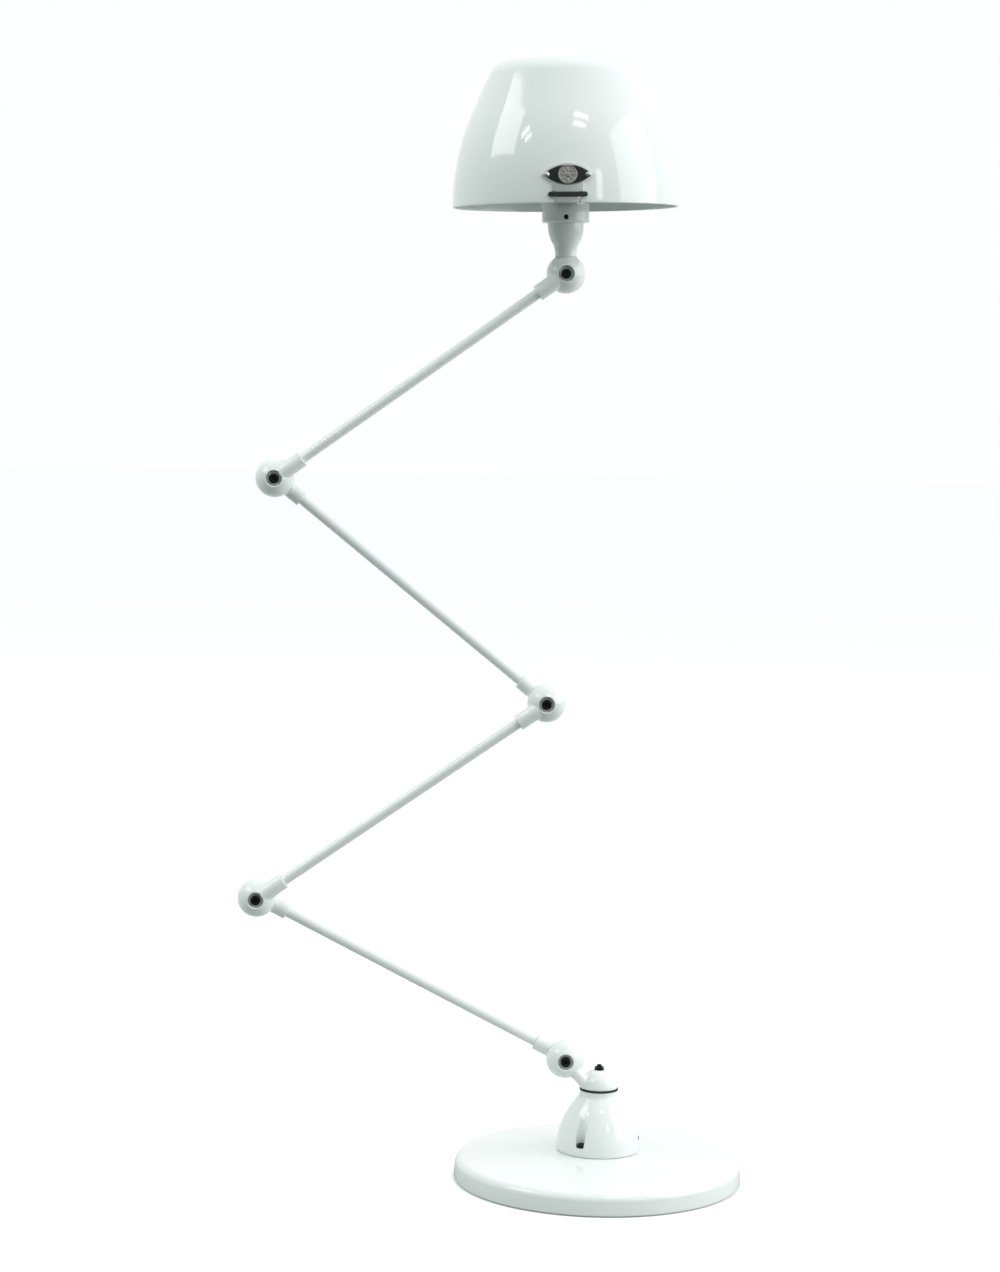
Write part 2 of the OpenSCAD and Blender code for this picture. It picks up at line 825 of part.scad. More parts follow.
module shade_bracket() {
    leaf_low = buffer_z + buffer_h + 0.9;
    foot_z = collar_top - rim_z;
    color(steel)
        on_head() {
            difference() {
                union() {
                    // Ring round the lampholder and arm to the front
                    translate([0, 0, collar_top]) cylinder(d = collar_d, h = strap_t);
                    translate([-tongue_w / 2, -shade_d / 2 - skin_gap, collar_top])
                        cube([tongue_w, shade_d / 2, strap_t]);
                    // Tongue and leaf against the outside of the shade
                    intersection() {
                        side_skin(skin_gap, skin_gap + strap_t, plate_z + plate_h);
                        union() {
                            front_prism(0) translate([-tongue_w / 2, foot_z]) square([tongue_w, leaf_low]);
                            front_prism(0)
                                translate([-leaf_w / 2, leaf_low]) square([leaf_w, plate_z - leaf_low]);
                            front_prism(plate_z) lens(plate_w + 2.4, plate_h + 2.4);
                        }
                    }
                }
                translate([0, 0, collar_top - 1]) cylinder(d = holder_d + 2 * fixed_fit, h = strap_t + 2);
                plate_screw_holes();
            }
        }
}

module bracket_buffer() {
    end_r = buffer_h / 2;
    half = buffer_w / 2 - end_r;
    color(rubber)
        on_head()
            intersection() {
                side_skin(skin_gap + strap_t, skin_gap + strap_t + buffer_t, buffer_z + 2 * buffer_h);
                front_prism(buffer_z + end_r) {
                    square([2 * half, buffer_h], center = true);
                    translate([-half, 0]) circle(r = end_r);
                    translate([half, 0]) circle(r = end_r);
                }
            }
}

module nameplate() {
    back = skin_gap + strap_t;
    color(black)
        on_head()
            difference() {
                union() {
                    intersection() {
                        side_skin(back, back + plate_t, plate_z + plate_h);
                        front_prism(plate_z) lens(plate_w, plate_h);
                    }
                    intersection() {
                        side_skin(back, back + plate_t + 0.8, plate_z + plate_h);
                        front_prism(plate_z) circle(d = min(medal_d, plate_h - 1));
                    }
                }
                plate_screw_holes();
            }
}

module nameplate_screws() {
    head_r = 2.5;
    head_t = 1.2;
    // The plate stands furthest forward under the lower inner edge of a head
    edge = [plate_pitch / 2 - head_r * cos(45), plate_z - head_r * sin(45)];
    face_r = side_c[0] + sqrt(pow(side_r + skin_gap + strap_t + plate_t, 2) - pow(edge[1], 2));
    seat = sqrt(pow(face_r, 2) - pow(edge[0], 2)) + face_gap;
    color(steel)
        on_head()
            at_plate_screws()
                translate([0, 0, seat]) {
                    cylinder(r = head_r, h = head_t);
                    translate([0, 0, -7.5]) cylinder(r = plate_screw_r, h = 7.5 + eps);
                }
}

base_plate();
base_pad();
cord_grommet();
bell();
bell_screws();
swivel_stud();
swivel_washer();
swivel_nut();
swivel_contact_disc();
swivel_brush_disc();
swivel_elbow();
on_arm(joint_0, angle_1) arm_tube(rear);  // arm_1_tube
on_arm(joint_0, angle_1) sleeve_shell(rear);  // arm_1_lower_shell
on_arm(joint_0, angle_1) upper_shell(rear);  // arm_1_upper_shell
on_arm(joint_0, angle_1) arm_lead(rear);  // arm_1_lead
on_arm(joint_1, angle_2) arm_tube(front);  // arm_2_tube
on_arm(joint_1, angle_2) sleeve_shell(front);  // arm_2_lower_shell
on_arm(joint_1, angle_2) upper_shell(front);  // arm_2_upper_shell
on_arm(joint_1, angle_2) arm_lead(front);  // arm_2_lead
on_arm(joint_2, angle_3) arm_tube(rear);  // arm_3_tube
on_arm(joint_2, angle_3) sleeve_shell(rear);  // arm_3_lower_shell
on_arm(joint_2, angle_3) upper_shell(rear);  // arm_3_upper_shell
on_arm(joint_2, angle_3) arm_lead(rear);  // arm_3_lead
on_arm(joint_3, angle_4) arm_tube(front);  // arm_4_tube
on_arm(joint_3, angle_4) sleeve_shell(front);  // arm_4_lower_shell
on_arm(joint_3, angle_4) upper_shell(front);  // arm_4_upper_shell
on_arm(joint_3, angle_4) arm_lead(front);  // arm_4_lead
translate(joint_0) joint_bolt();  // joint_0_bolt
translate(joint_0) joint_washer();  // joint_0_washer
translate(joint_0) joint_contact_disc();  // joint_0_contact_disc
translate(joint_0) joint_brush_disc();  // joint_0_brush_disc
translate(joint_1) joint_bolt();  // joint_1_bolt
translate(joint_1) joint_washer();  // joint_1_washer
translate(joint_1) joint_contact_disc();  // joint_1_contact_disc
translate(joint_1) joint_brush_disc();  // joint_1_brush_disc
translate(joint_2) joint_bolt();  // joint_2_bolt
translate(joint_2) joint_washer();  // joint_2_washer
translate(joint_2) joint_contact_disc();  // joint_2_contact_disc
translate(joint_2) joint_brush_disc();  // joint_2_brush_disc
translate(joint_3) joint_bolt();  // joint_3_bolt
translate(joint_3) joint_washer();  // joint_3_washer
translate(joint_3) joint_contact_disc();  // joint_3_contact_disc
translate(joint_3) joint_brush_disc();  // joint_3_brush_disc
translate(joint_4) joint_bolt();  // joint_4_bolt
translate(joint_4) joint_washer();  // joint_4_washer
translate(joint_4) joint_contact_disc();  // joint_4_contact_disc
translate(joint_4) joint_brush_disc();  // joint_4_brush_disc
head_neck();
collar();
collar_screw();
lampholder();
lampholder_contacts();
shade_ring();
bulb_cap();
bulb_glass();
shade();
shade_bracket();
bracket_buffer();
nameplate();
nameplate_screws();
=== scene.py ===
import json
import math

import bmesh
import bpy
from mathutils import Matrix, Vector


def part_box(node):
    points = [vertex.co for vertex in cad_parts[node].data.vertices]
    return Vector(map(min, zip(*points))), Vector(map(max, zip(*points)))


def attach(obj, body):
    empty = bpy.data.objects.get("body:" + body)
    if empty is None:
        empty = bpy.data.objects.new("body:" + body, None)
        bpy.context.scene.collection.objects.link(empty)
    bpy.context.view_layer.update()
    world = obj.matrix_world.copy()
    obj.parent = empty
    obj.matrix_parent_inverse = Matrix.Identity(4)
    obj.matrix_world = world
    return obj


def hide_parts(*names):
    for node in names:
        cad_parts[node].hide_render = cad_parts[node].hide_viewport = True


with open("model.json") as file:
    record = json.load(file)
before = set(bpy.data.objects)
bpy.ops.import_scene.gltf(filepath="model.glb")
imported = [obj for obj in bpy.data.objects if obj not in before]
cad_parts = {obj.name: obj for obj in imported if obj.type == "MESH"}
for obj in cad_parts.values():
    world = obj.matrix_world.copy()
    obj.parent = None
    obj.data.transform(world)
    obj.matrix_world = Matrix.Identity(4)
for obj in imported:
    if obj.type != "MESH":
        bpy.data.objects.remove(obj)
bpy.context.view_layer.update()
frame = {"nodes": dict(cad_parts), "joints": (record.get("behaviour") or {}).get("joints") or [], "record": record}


# ---------- Studio ----------
# The lamp stands on a plain pale floor in an even white room. A softbox on the left and a broad one on the
# right light it, and small panes in front and a narrow strip leave the short glints on the shade.

def linear(colour):
    """A colour such as "#EEF3F1" as the linear numbers that a shader reads."""
    parts = [int(colour[i:i + 2], 16) / 255 for i in (1, 3, 5)]
    return [c / 12.92 if c <= 0.04045 else ((c + 0.055) / 1.055) ** 2.4 for c in parts] + [1.0]


def add_node(tree, kind, links=None, **settings):
    """Adds a node. Settings name its properties, and links gives its inputs a value or another node's output."""
    made = tree.nodes.new(kind)
    for name, value in settings.items():
        setattr(made, name, value)
    for name, value in (links or {}).items():
        if isinstance(value, bpy.types.NodeSocket):
            tree.links.new(value, made.inputs[name])
        else:
            made.inputs[name].default_value = value
    return made


def new_material(name):
    material = bpy.data.materials.new(name)
    material.use_nodes = True
    material.node_tree.nodes.clear()
    return material, material.node_tree


scene = bpy.context.scene
scene.view_settings.view_transform = "Standard"

view_from = Vector((-0.0930, -2.6626, 0.7210))
camera = bpy.data.objects.new("camera", bpy.data.cameras.new("camera"))
camera.data.sensor_fit = "VERTICAL"
camera.data.sensor_height = 36
camera.data.lens = 88.93
camera.matrix_world = (Matrix.Translation(view_from)
                       @ Matrix.Rotation(math.radians(84.601), 4, "X")
                       @ Matrix.Rotation(math.radians(1.143), 4, "Z"))
scene.collection.objects.link(camera)
scene.camera = camera

# The room is white behind, above and on the right, and duller low down in front and on the left
scene.world = bpy.data.worlds.new("studio_room")
scene.world.use_nodes = True
room = scene.world.node_tree
room.nodes.clear()
sky = add_node(room, "ShaderNodeTexCoord")
way = add_node(room, "ShaderNodeVectorMath", {0: sky.outputs["Generated"], 1: (0.34, 0.52, 0.78)},
               operation="DOT_PRODUCT")
walls = add_node(room, "ShaderNodeValToRGB", {"Fac": add_node(room, "ShaderNodeMapRange", {
    "Value": way.outputs["Value"], "From Min": -1.0, "From Max": 1.0}).outputs["Result"]})
walls.color_ramp.elements[0].position = 0.2
walls.color_ramp.elements[0].color = linear("#98ACA6")
walls.color_ramp.elements[1].position = 0.72
walls.color_ramp.elements[1].color = linear("#FDFFFF")
lit = add_node(room, "ShaderNodeBackground", {"Color": walls.outputs["Color"], "Strength": 0.93})
seen = add_node(room, "ShaderNodeBackground", {"Color": linear("#FEFFFF"), "Strength": 1.0})
ray = add_node(room, "ShaderNodeLightPath")
either = add_node(room, "ShaderNodeMixShader", {0: ray.outputs["Is Camera Ray"], 1: lit.outputs[0],
                                                2: seen.outputs[0]})
add_node(room, "ShaderNodeOutputWorld", {"Surface": either.outputs[0]})

# The floor is white to look at. Its light comes back from the white paper under and behind the lamp, and the
# studio's floor in front of it is dark.
floor_mesh = bpy.data.meshes.new("floor")
floor_edge = [(14 * math.cos(a), 14 * math.sin(a), -0.0001) for a in
              (math.tau * i / 64 for i in range(64))]
floor_mesh.from_pydata(floor_edge, [], [range(64)])
floor = bpy.data.objects.new("floor", floor_mesh)
scene.collection.objects.link(floor)
paper, tree = new_material("pale_floor")
white = add_node(tree, "ShaderNodeBsdfPrincipled", {"Base Color": linear("#FCFDFD"), "Roughness": 1.0,
                                                    "Specular IOR Level": 0.0, "Emission Strength": 0.14,
                                                    "Emission Color": linear("#FFFFFF")})
spot = add_node(tree, "ShaderNodeSeparateXYZ", {"Vector": add_node(tree, "ShaderNodeTexCoord").outputs["Object"]})
sweep = add_node(tree, "ShaderNodeMapRange", {"Value": spot.outputs["Y"], "From Min": -0.6, "From Max": 0.4})
bounce = add_node(tree, "ShaderNodeValToRGB", {"Fac": sweep.outputs["Result"]})
bounce.color_ramp.elements[0].color = linear("#464D4B")
bounce.color_ramp.elements[1].color = linear("#E4E8E6")
dull = add_node(tree, "ShaderNodeBsdfDiffuse", {"Color": bounce.outputs["Color"], "Roughness": 0.3})
ray = add_node(tree, "ShaderNodeLightPath")
either = add_node(tree, "ShaderNodeMixShader", {0: ray.outputs["Is Camera Ray"], 1: dull.outputs[0],
                                                2: white.outputs[0]})
add_node(tree, "ShaderNodeOutputMaterial", {"Surface": either.outputs[0]})
floor_mesh.materials.append(paper)

shade_middle = Vector((-0.05, 0, 0.88))


def softbox(name, azimuth, height, across, tall, radiance, roll=0.0, reach=2.5):
    """A flat soft light that faces the shade, with its direction and its size in degrees as the shade sees them."""
    a, h = math.radians(azimuth), math.radians(height)
    away = Vector((math.sin(a) * math.cos(h), -math.cos(a) * math.cos(h), math.sin(h)))
    lamp = bpy.data.lights.new(name, "AREA")
    lamp.shape = "RECTANGLE"
    lamp.size = 2 * reach * math.tan(math.radians(across / 2))
    lamp.size_y = 2 * reach * math.tan(math.radians(tall / 2))
    lamp.energy = radiance * math.pi * lamp.size * lamp.size_y
    holder = bpy.data.objects.new(name, lamp)
    holder.matrix_world = (Matrix.Translation(shade_middle + away * reach)
                           @ away.to_track_quat("Z", "Y").to_matrix().to_4x4()
                           @ Matrix.Rotation(math.radians(roll), 4, "Z"))
    scene.collection.objects.link(holder)


softbox("softbox_left", -76.5, 31.5, 28, 22, 4.2, roll=11)
softbox("softbox_right", 79, 14, 48, 48, 2.4)
softbox("pane_left_upper", -51.5, 34, 8.3, 2.8, 9, roll=45)
softbox("pane_left_lower", -46.3, 32, 7, 2.4, 9, roll=33)
softbox("pane_front_upper", 20, 46.6, 13, 2.5, 11, roll=-13)
softbox("pane_front_lower", 16.3, 42, 12, 2.3, 11, roll=-10)
softbox("strip_right", 33, 11, 6, 14.5, 5)


# ---------- Base plate ----------
# A round plate of cast iron that gives the lamp its weight, with a rounded rim and a top that rises gently
# to the bell. It is fettled, primed and stove enamelled in gloss white, so a faint orange peel remains.

MM = 0.001


def rounded(corners):
    """The outline through corners (r, z) or (r, z, fillet), with an arc in place of each filleted corner."""
    line = []
    count = len(corners)
    for i, corner in enumerate(corners):
        here = Vector(corner[:2])
        fillet = corner[2] if len(corner) > 2 else 0
        if not fillet:
            line.append(here)
            continue
        back = (Vector(corners[i - 1][:2]) - here).normalized()
        on = (Vector(corners[(i + 1) % count][:2]) - here).normalized()
        half = back.angle(on) / 2
        reach = fillet / math.tan(half)
        centre = here + (back + on).normalized() * fillet / math.sin(half)
        first, last = here + back * reach - centre, here + on * reach - centre
        bend = first.angle_signed(last)
        steps = max(2, round(abs(math.degrees(bend)) / 15))
        for k in range(steps + 1):
            a = -bend * k / steps
            line.append(centre + Vector((first.x * math.cos(a) - first.y * math.sin(a),
                                         first.x * math.sin(a) + first.y * math.cos(a))))
    return line


def arc(centre, radius, start, end, steps):
    """Points of an arc in the plane of an outline, with its angles in degrees."""
    return [(centre[0] + radius * math.cos(a), centre[1] + radius * math.sin(a)) for a in
            (math.radians(start + (end - start) * k / steps) for k in range(steps + 1))]


def turned(outline, around=96):
    """A closed solid: the outline (r, z), in millimetres, turned round the Z axis."""
    bm = bmesh.new()
    rings = []
    for r, z in outline:
        if r < 1e-6:
            rings.append([bm.verts.new((0, 0, z * MM))] * around)
        else:
            rings.append([bm.verts.new((r * MM * math.cos(a), r * MM * math.sin(a), z * MM))
                          for a in (math.tau * k / around for k in range(around))])
    for low, high in zip(rings, rings[1:] + rings[:1]):
        if low[0] is low[1] and high[0] is high[1]:
            continue
        for k in range(around):
            n = (k + 1) % around
            face = [low[k], low[n], high[n], high[k]]
            bm.faces.new(list(dict.fromkeys(face)))
    bmesh.ops.recalc_face_normals(bm, faces=bm.faces)
    return bm


def cut(bm, *tools):
    """Cuts closed solids out of another, and returns what is left."""
    block = bpy.data.objects.new("block", bpy.data.meshes.new("block"))
    bm.to_mesh(block.data)
    bm.free()
    scene.collection.objects.link(block)
    for tool in tools:
        cutter = bpy.data.objects.new("cutter", bpy.data.meshes.new("cutter"))
        tool.to_mesh(cutter.data)
        tool.free()
        scene.collection.objects.link(cutter)
        cutting = block.modifiers.new("cut", "BOOLEAN")
        cutting.operation, cutting.solver, cutting.object = "DIFFERENCE", "EXACT", cutter
        bpy.context.view_layer.update()
        left = bpy.data.meshes.new_from_object(block.evaluated_get(bpy.context.evaluated_depsgraph_get()))
        block.modifiers.remove(cutting)
        block.data = left
        bpy.data.objects.remove(cutter)
    bm = bmesh.new()
    bm.from_mesh(block.data)
    bpy.data.objects.remove(block)
    return bm


def moved(bm, *steps):
    """Applies the steps, first one first."""
    for step in steps:
        bm.transform(step)
    return bm


def shift(x, y, z):
    return Matrix.Translation((x * MM, y * MM, z * MM))


def turn(degrees, axis):
    return Matrix.Rotation(math.radians(degrees), 4, axis)


def piece(name, solids, material, body, slot, *nodes, crease=32):
    """Joins solids into one finished piece that rides on a body and stands for CAD nodes."""
    whole = bmesh.new()
    for solid in solids:
        part = bpy.data.meshes.new("part")
        solid.to_mesh(part)
        solid.free()
        whole.from_mesh(part)
        bpy.data.meshes.remove(part)
    mesh = bpy.data.meshes.new(name)
    whole.to_mesh(mesh)
    whole.free()
    mesh.shade_smooth()
    mesh.set_sharp_from_angle(angle=math.radians(crease))
    mesh.materials.clear()
    mesh.materials.append(material)
    made = bpy.data.objects.new(name, mesh)
    scene.collection.objects.link(made)
    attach(made, body)
    if nodes:
        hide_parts(*nodes)
    return made


def enamel(name, colour, peel_mm, peel_height):
    """Gloss stove enamel: a smooth, slightly wavy skin, a little deeper in tone in the broad patches
    where it ran thicker."""
    material, tree = new_material(name)
    place = add_node(tree, "ShaderNodeTexCoord").outputs["Object"]
    patches = add_node(tree, "ShaderNodeTexNoise", {"Vector": place, "Scale": 1 / 0.09, "Detail": 2.0})
    tone = add_node(tree, "ShaderNodeValToRGB", {"Fac": patches.outputs["Fac"]})
    tone.color_ramp.elements[0].color = [c * 0.97 for c in linear(colour)[:3]] + [1]
    tone.color_ramp.elements[1].color = linear(colour)
    haze = add_node(tree, "ShaderNodeTexNoise", {"Vector": place, "Scale": 1 / 0.03, "Detail": 3.0})
    gloss = add_node(tree, "ShaderNodeMapRange", {"Value": haze.outputs["Fac"], "To Min": 0.05, "To Max": 0.11})
    peel = add_node(tree, "ShaderNodeTexNoise", {"Vector": place, "Scale": 1000 / peel_mm, "Detail": 1.0})
    skin = add_node(tree, "ShaderNodeBump", {"Height": peel.outputs["Fac"], "Strength": 1.0,
                                            "Distance": peel_height * MM})
    paint = add_node(tree, "ShaderNodeBsdfPrincipled", {
        "Base Color": tone.outputs["Color"], "Roughness": gloss.outputs["Result"],
        "Normal": skin.outputs["Normal"], "IOR": 1.52})
    add_node(tree, "ShaderNodeOutputMaterial", {"Surface": paint.outputs[0]})
    return material


# Enamel on cast iron: the skin follows the casting's slow ripples, about 7 mm apart
cast_enamel = enamel("stove_enamel_on_cast_iron", "#EDF2F0", 7.0, 0.003)

plate_low, plate_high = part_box("base_plate")
plate_r = plate_high.x / MM
plate_top = plate_high.z / MM
bell_low, bell_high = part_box("bell")
bell_foot_r = bell_high.x / MM
pad_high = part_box("base_pad")[1]
rim_h, rim_round, draft = 19, 7, 5
inlet = frame["record"]["mounts"][1]["pos_m"]
inlet_z = inlet[2] / MM

side_top = rim_h - rim_round + rim_round * math.sin(math.radians(draft))
round_x = (plate_r - (side_top - plate_low.z / MM) * math.tan(math.radians(draft))
           - rim_round * math.cos(math.radians(draft)))
plate_line = rounded([(0, 2), (pad_high.x / MM + 0.3, 2), (pad_high.x / MM + 0.3, plate_low.z / MM),
                      (plate_r, plate_low.z / MM, 1)]
                     + arc((round_x, rim_h - rim_round), rim_round, draft, 84.9, 20)
                     + [(bell_foot_r + 4, plate_top - 0.28), (bell_foot_r - 2, plate_top), (0, plate_top)])
plate = turned(plate_line, 256)
spot_face_r, drilling_r = 7.8, 5.6
spot_face = moved(turned([(0, 0), (spot_face_r, 0), (spot_face_r, 8), (0, 8)], 64), turn(-90, "X"),
                  shift(0, plate_r - 3, inlet_z))
drilling = moved(turned([(0, 0), (drilling_r, 0), (drilling_r, 24), (0, 24)], 64), turn(-90, "X"),
                 shift(0, plate_r - 20, inlet_z))
plate = cut(plate, spot_face, drilling)
piece("base_plate_casting", [plate], cast_enamel, "base", "enamel_iron", "base_plate")


# ---------- Anti-slip pad and cord inlet ----------
# A disc of black rubber is glued into the plate's underside and stands a little proud of it. A black rubber
# grommet, pressed into the rear of the rim, lines the hole where the mains cord goes in.

def rubber(name, colour, grain_mm):
    """Moulded rubber: dull, with a fine grain from the mould and a faint bloom."""
    material, tree = new_material(name)
    place = add_node(tree, "ShaderNodeTexCoord").outputs["Object"]
    bloom = add_node(tree, "ShaderNodeTexNoise", {"Vector": place, "Scale": 1 / 0.012, "Detail": 4.0})
    tone = add_node(tree, "ShaderNodeValToRGB", {"Fac": bloom.outputs["Fac"]})
    tone.color_ramp.elements[0].color = linear(colour)
    tone.color_ramp.elements[1].color = [min(1, c * 1.7) for c in linear(colour)[:3]] + [1]
    grain = add_node(tree, "ShaderNodeTexNoise", {"Vector": place, "Scale": 1000 / grain_mm, "Detail": 2.0})
    skin = add_node(tree, "ShaderNodeBump", {"Height": grain.outputs["Fac"], "Strength": 0.5,
                                            "Distance": 0.05 * MM})
    body = add_node(tree, "ShaderNodeBsdfPrincipled", {"Base Color": tone.outputs["Color"], "Roughness": 0.62,
                                                       "Normal": skin.outputs["Normal"], "IOR": 1.52})
    add_node(tree, "ShaderNodeOutputMaterial", {"Surface": body.outputs[0]})
    return material


black_rubber = rubber("moulded_black_rubber", "#161718", 0.4)

pad_r = pad_high.x / MM
grooves = [g for k in range(10) for g in ((pad_r - 6 - 8 * k, 0), (pad_r - 7 - 8 * k, 0.6),
                                         (pad_r - 8 - 8 * k, 0.6), (pad_r - 9 - 8 * k, 0))]
pad_edge = rounded([(pad_r - 1, 0), (pad_r, 0, 0.4), (pad_r, 2, 0.1), (0, 2)])[1:]
pad = turned([(0, 0)] + grooves[::-1] + pad_edge, 160)
piece("anti_slip_pad", [pad], black_rubber, "base", "black_rubber", "base_pad")

grommet = turned(rounded([(3.75, -14, 0.3), (5.5, -14, 0.4), (5.5, 0), (7.5, 0, 0.4), (7.5, 2, 0.9),
                          (3.75, 2, 0.9)]), 64)
moved(grommet, turn(-90, "X"), shift(0, plate_r - 3, inlet_z))
piece("inlet_grommet", [grommet], black_rubber, "base", "black_rubber", "cord_grommet")


# ---------- Bell ----------
# A hollow iron casting that carries the swivel. Three upright channels in its side give a screwdriver
# the way to the screws in its foot, and its lower edge stands on the plate with a thin dark joint line.

bell_h = (bell_high.z - bell_low.z) / MM
bell_z = bell_low.z / MM
neck_r = 16.5
bell_top = bell_z + bell_h
bell_side_r, hollow_r = 67.7, 8
bell_side_c = (bell_foot_r - bell_side_r, bell_z)
hollow_x = neck_r + hollow_r
hollow_rise = math.sqrt((bell_side_r + hollow_r) ** 2 - (hollow_x - bell_side_c[0]) ** 2)
meet = math.degrees(math.atan2(hollow_rise, hollow_x - bell_side_c[0]))
bell_line = ([(19, bell_z + 0.3)]
             + rounded([(bell_foot_r - 3, bell_z + 0.3), (bell_foot_r - 0.15, bell_z + 0.3, 0.6),
                        (bell_foot_r - 0.1, bell_z + 2.5)])[1:]
             + arc(bell_side_c, bell_side_r, 2.2, meet, 40)
             + arc((hollow_x, bell_z + hollow_rise), hollow_r, 180 + meet, 180, 14)
             + rounded([(neck_r, bell_top - 3), (neck_r, bell_top, 0.4), (12.6, bell_top)])[1:]
             + [(12.6, bell_top - 6.5), (2.05, bell_top - 6.5), (2.05, bell_z + 34), (19, bell_z + 34)])
bell = turned(bell_line, 192)
channel_turn, channel_reach, foot_t = 270 - 27.5, 32.2, 8
channels = [moved(turned(rounded([(0, 0), (4.5, 0, 0.6), (4.5, 60), (0, 60)]), 48),
                  shift(channel_reach, 0, bell_z + foot_t), turn(channel_turn + 120 * k, "Z")) for k in range(3)]
bell = cut(bell, *channels)
piece("bell_casting", [bell], cast_enamel, "base", "enamel_iron", "bell")


# ---------- Foot screws ----------
# Three black steel socket-head screws hold the bell down on the plate. Each stands at the bottom of its
# channel, with a hexagon socket in its head and a knurl round it.

def black_steel(name, colour):
    """Steel blackened with hot oxide and oiled: near black, satin, with a little brown where it is thin."""
    material, tree = new_material(name)
    place = add_node(tree, "ShaderNodeTexCoord").outputs["Object"]
    oil = add_node(tree, "ShaderNodeTexNoise", {"Vector": place, "Scale": 1 / 0.0025, "Detail": 4.0})
    tone = add_node(tree, "ShaderNodeValToRGB", {"Fac": oil.outputs["Fac"]})
    tone.color_ramp.elements[0].color = linear(colour)
    tone.color_ramp.elements[1].color = linear("#2A2725")
    gloss = add_node(tree, "ShaderNodeMapRange", {"Value": oil.outputs["Fac"], "To Min": 0.28, "To Max": 0.46})
    steel = add_node(tree, "ShaderNodeBsdfPrincipled", {"Base Color": tone.outputs["Color"], "Metallic": 0.6,
                                                        "Roughness": gloss.outputs["Result"]})
    add_node(tree, "ShaderNodeOutputMaterial", {"Surface": steel.outputs[0]})
    return material


oxide_steel = black_steel("black_oxide_steel", "#101112")


def socket_screw(head_r, head_h, key_r, key_depth, shank_r, shank_h, knurls=0):
    """A socket-head screw with its head's seat at z = 0 and its shank below."""
    screw = turned(rounded([(0, -shank_h), (shank_r, -shank_h, 0.3), (shank_r, 0), (head_r, 0, 0.2),
                            (head_r, head_h, 0.5), (0, head_h)]), 48)
    key = turned([(0, head_h - key_depth), (key_r, head_h - key_depth), (key_r, head_h - 0.3),
                  (key_r + 0.5, head_h + 0.2), (0, head_h + 0.2)], 6)
    grips = [moved(turned([(0, 0.6), (0.22, 0.6), (0.22, head_h - 0.9), (0, head_h - 0.6)], 6),
                   shift(head_r + 0.06, 0, 0), turn(360 * k / knurls, "Z")) for k in range(knurls)]
    return cut(screw, key, *grips) if knurls else cut(screw, key)


def mesh_of(solid, name, material):
    """One part as an unlinked object that a node tree can repeat."""
    mesh = bpy.data.meshes.new(name)
    solid.to_mesh(mesh)
    solid.free()
    mesh.shade_smooth()
    mesh.set_sharp_from_angle(angle=math.radians(32))
    mesh.materials.append(material)
    return bpy.data.objects.new(name, mesh)


def repeat_tree(name):
    """A node tree that sets a part round a circle. Its inputs are the part, the count, the circle and its
    first angle."""
    tree = bpy.data.node_groups.new(name, "GeometryNodeTree")
    for label, kind in (("Part", "NodeSocketObject"), ("Count", "NodeSocketInt"),
                        ("Circle radius", "NodeSocketFloat"), ("First angle", "NodeSocketFloat"),
                        ("Finish", "NodeSocketMaterial")):
        tree.interface.new_socket(label, in_out="INPUT", socket_type=kind)
    tree.interface.new_socket("Geometry", in_out="OUTPUT", socket_type="NodeSocketGeometry")
    given = add_node(tree, "NodeGroupInput").outputs
    spots = add_node(tree, "GeometryNodePoints", {"Count": given["Count"]})
    index = add_node(tree, "GeometryNodeInputIndex")
    whole = add_node(tree, "ShaderNodeMath", {0: math.tau, 1: given["Count"]}, operation="DIVIDE")
    angle = add_node(tree, "ShaderNodeMath", {0: index.outputs[0], 1: whole.outputs[0], 2: given["First angle"]},
                     operation="MULTIPLY_ADD")
    turning = add_node(tree, "ShaderNodeCombineXYZ", {"Z": angle.outputs[0]})
    out = add_node(tree, "ShaderNodeCombineXYZ", {"X": given["Circle radius"]})
    spot = add_node(tree, "ShaderNodeVectorRotate", {"Vector": out.outputs[0], "Rotation": turning.outputs[0]},
                    rotation_type="EULER_XYZ")
    placed = add_node(tree, "GeometryNodeSetPosition", {"Geometry": spots.outputs[0], "Position": spot.outputs[0]})
    part = add_node(tree, "GeometryNodeObjectInfo", {"Object": given["Part"]})
    set_out = add_node(tree, "GeometryNodeInstanceOnPoints", {"Points": placed.outputs[0],
                                                              "Instance": part.outputs["Geometry"]})
    tree.links.new(turning.outputs[0], set_out.inputs["Rotation"])
    real = add_node(tree, "GeometryNodeRealizeInstances", {0: set_out.outputs[0]})
    done = add_node(tree, "GeometryNodeSetMaterial", {"Geometry": real.outputs[0], "Material": given["Finish"]})
    add_node(tree, "NodeGroupOutput", {0: done.outputs[0]})
    return tree


def grown(tree, place, **inputs):
    """Runs a node tree with these inputs and returns the result, moved to its place, as a solid."""
    seed = bpy.data.objects.new("seed", bpy.data.meshes.new("seed"))
    scene.collection.objects.link(seed)
    run = seed.modifiers.new("grow", "NODES")
    run.node_group = tree
    for socket in tree.interface.items_tree:
        if socket.in_out == "INPUT" and socket.name.replace(" ", "_").lower() in inputs:
            run[socket.identifier] = inputs[socket.name.replace(" ", "_").lower()]
    bpy.context.view_layer.update()
    result = bpy.data.meshes.new_from_object(seed.evaluated_get(bpy.context.evaluated_depsgraph_get()))
    seed.modifiers.remove(run)
    bpy.data.objects.remove(seed)
    bm = bmesh.new()
    bm.from_mesh(result)
    bpy.data.meshes.remove(result)
    return moved(bm, place)


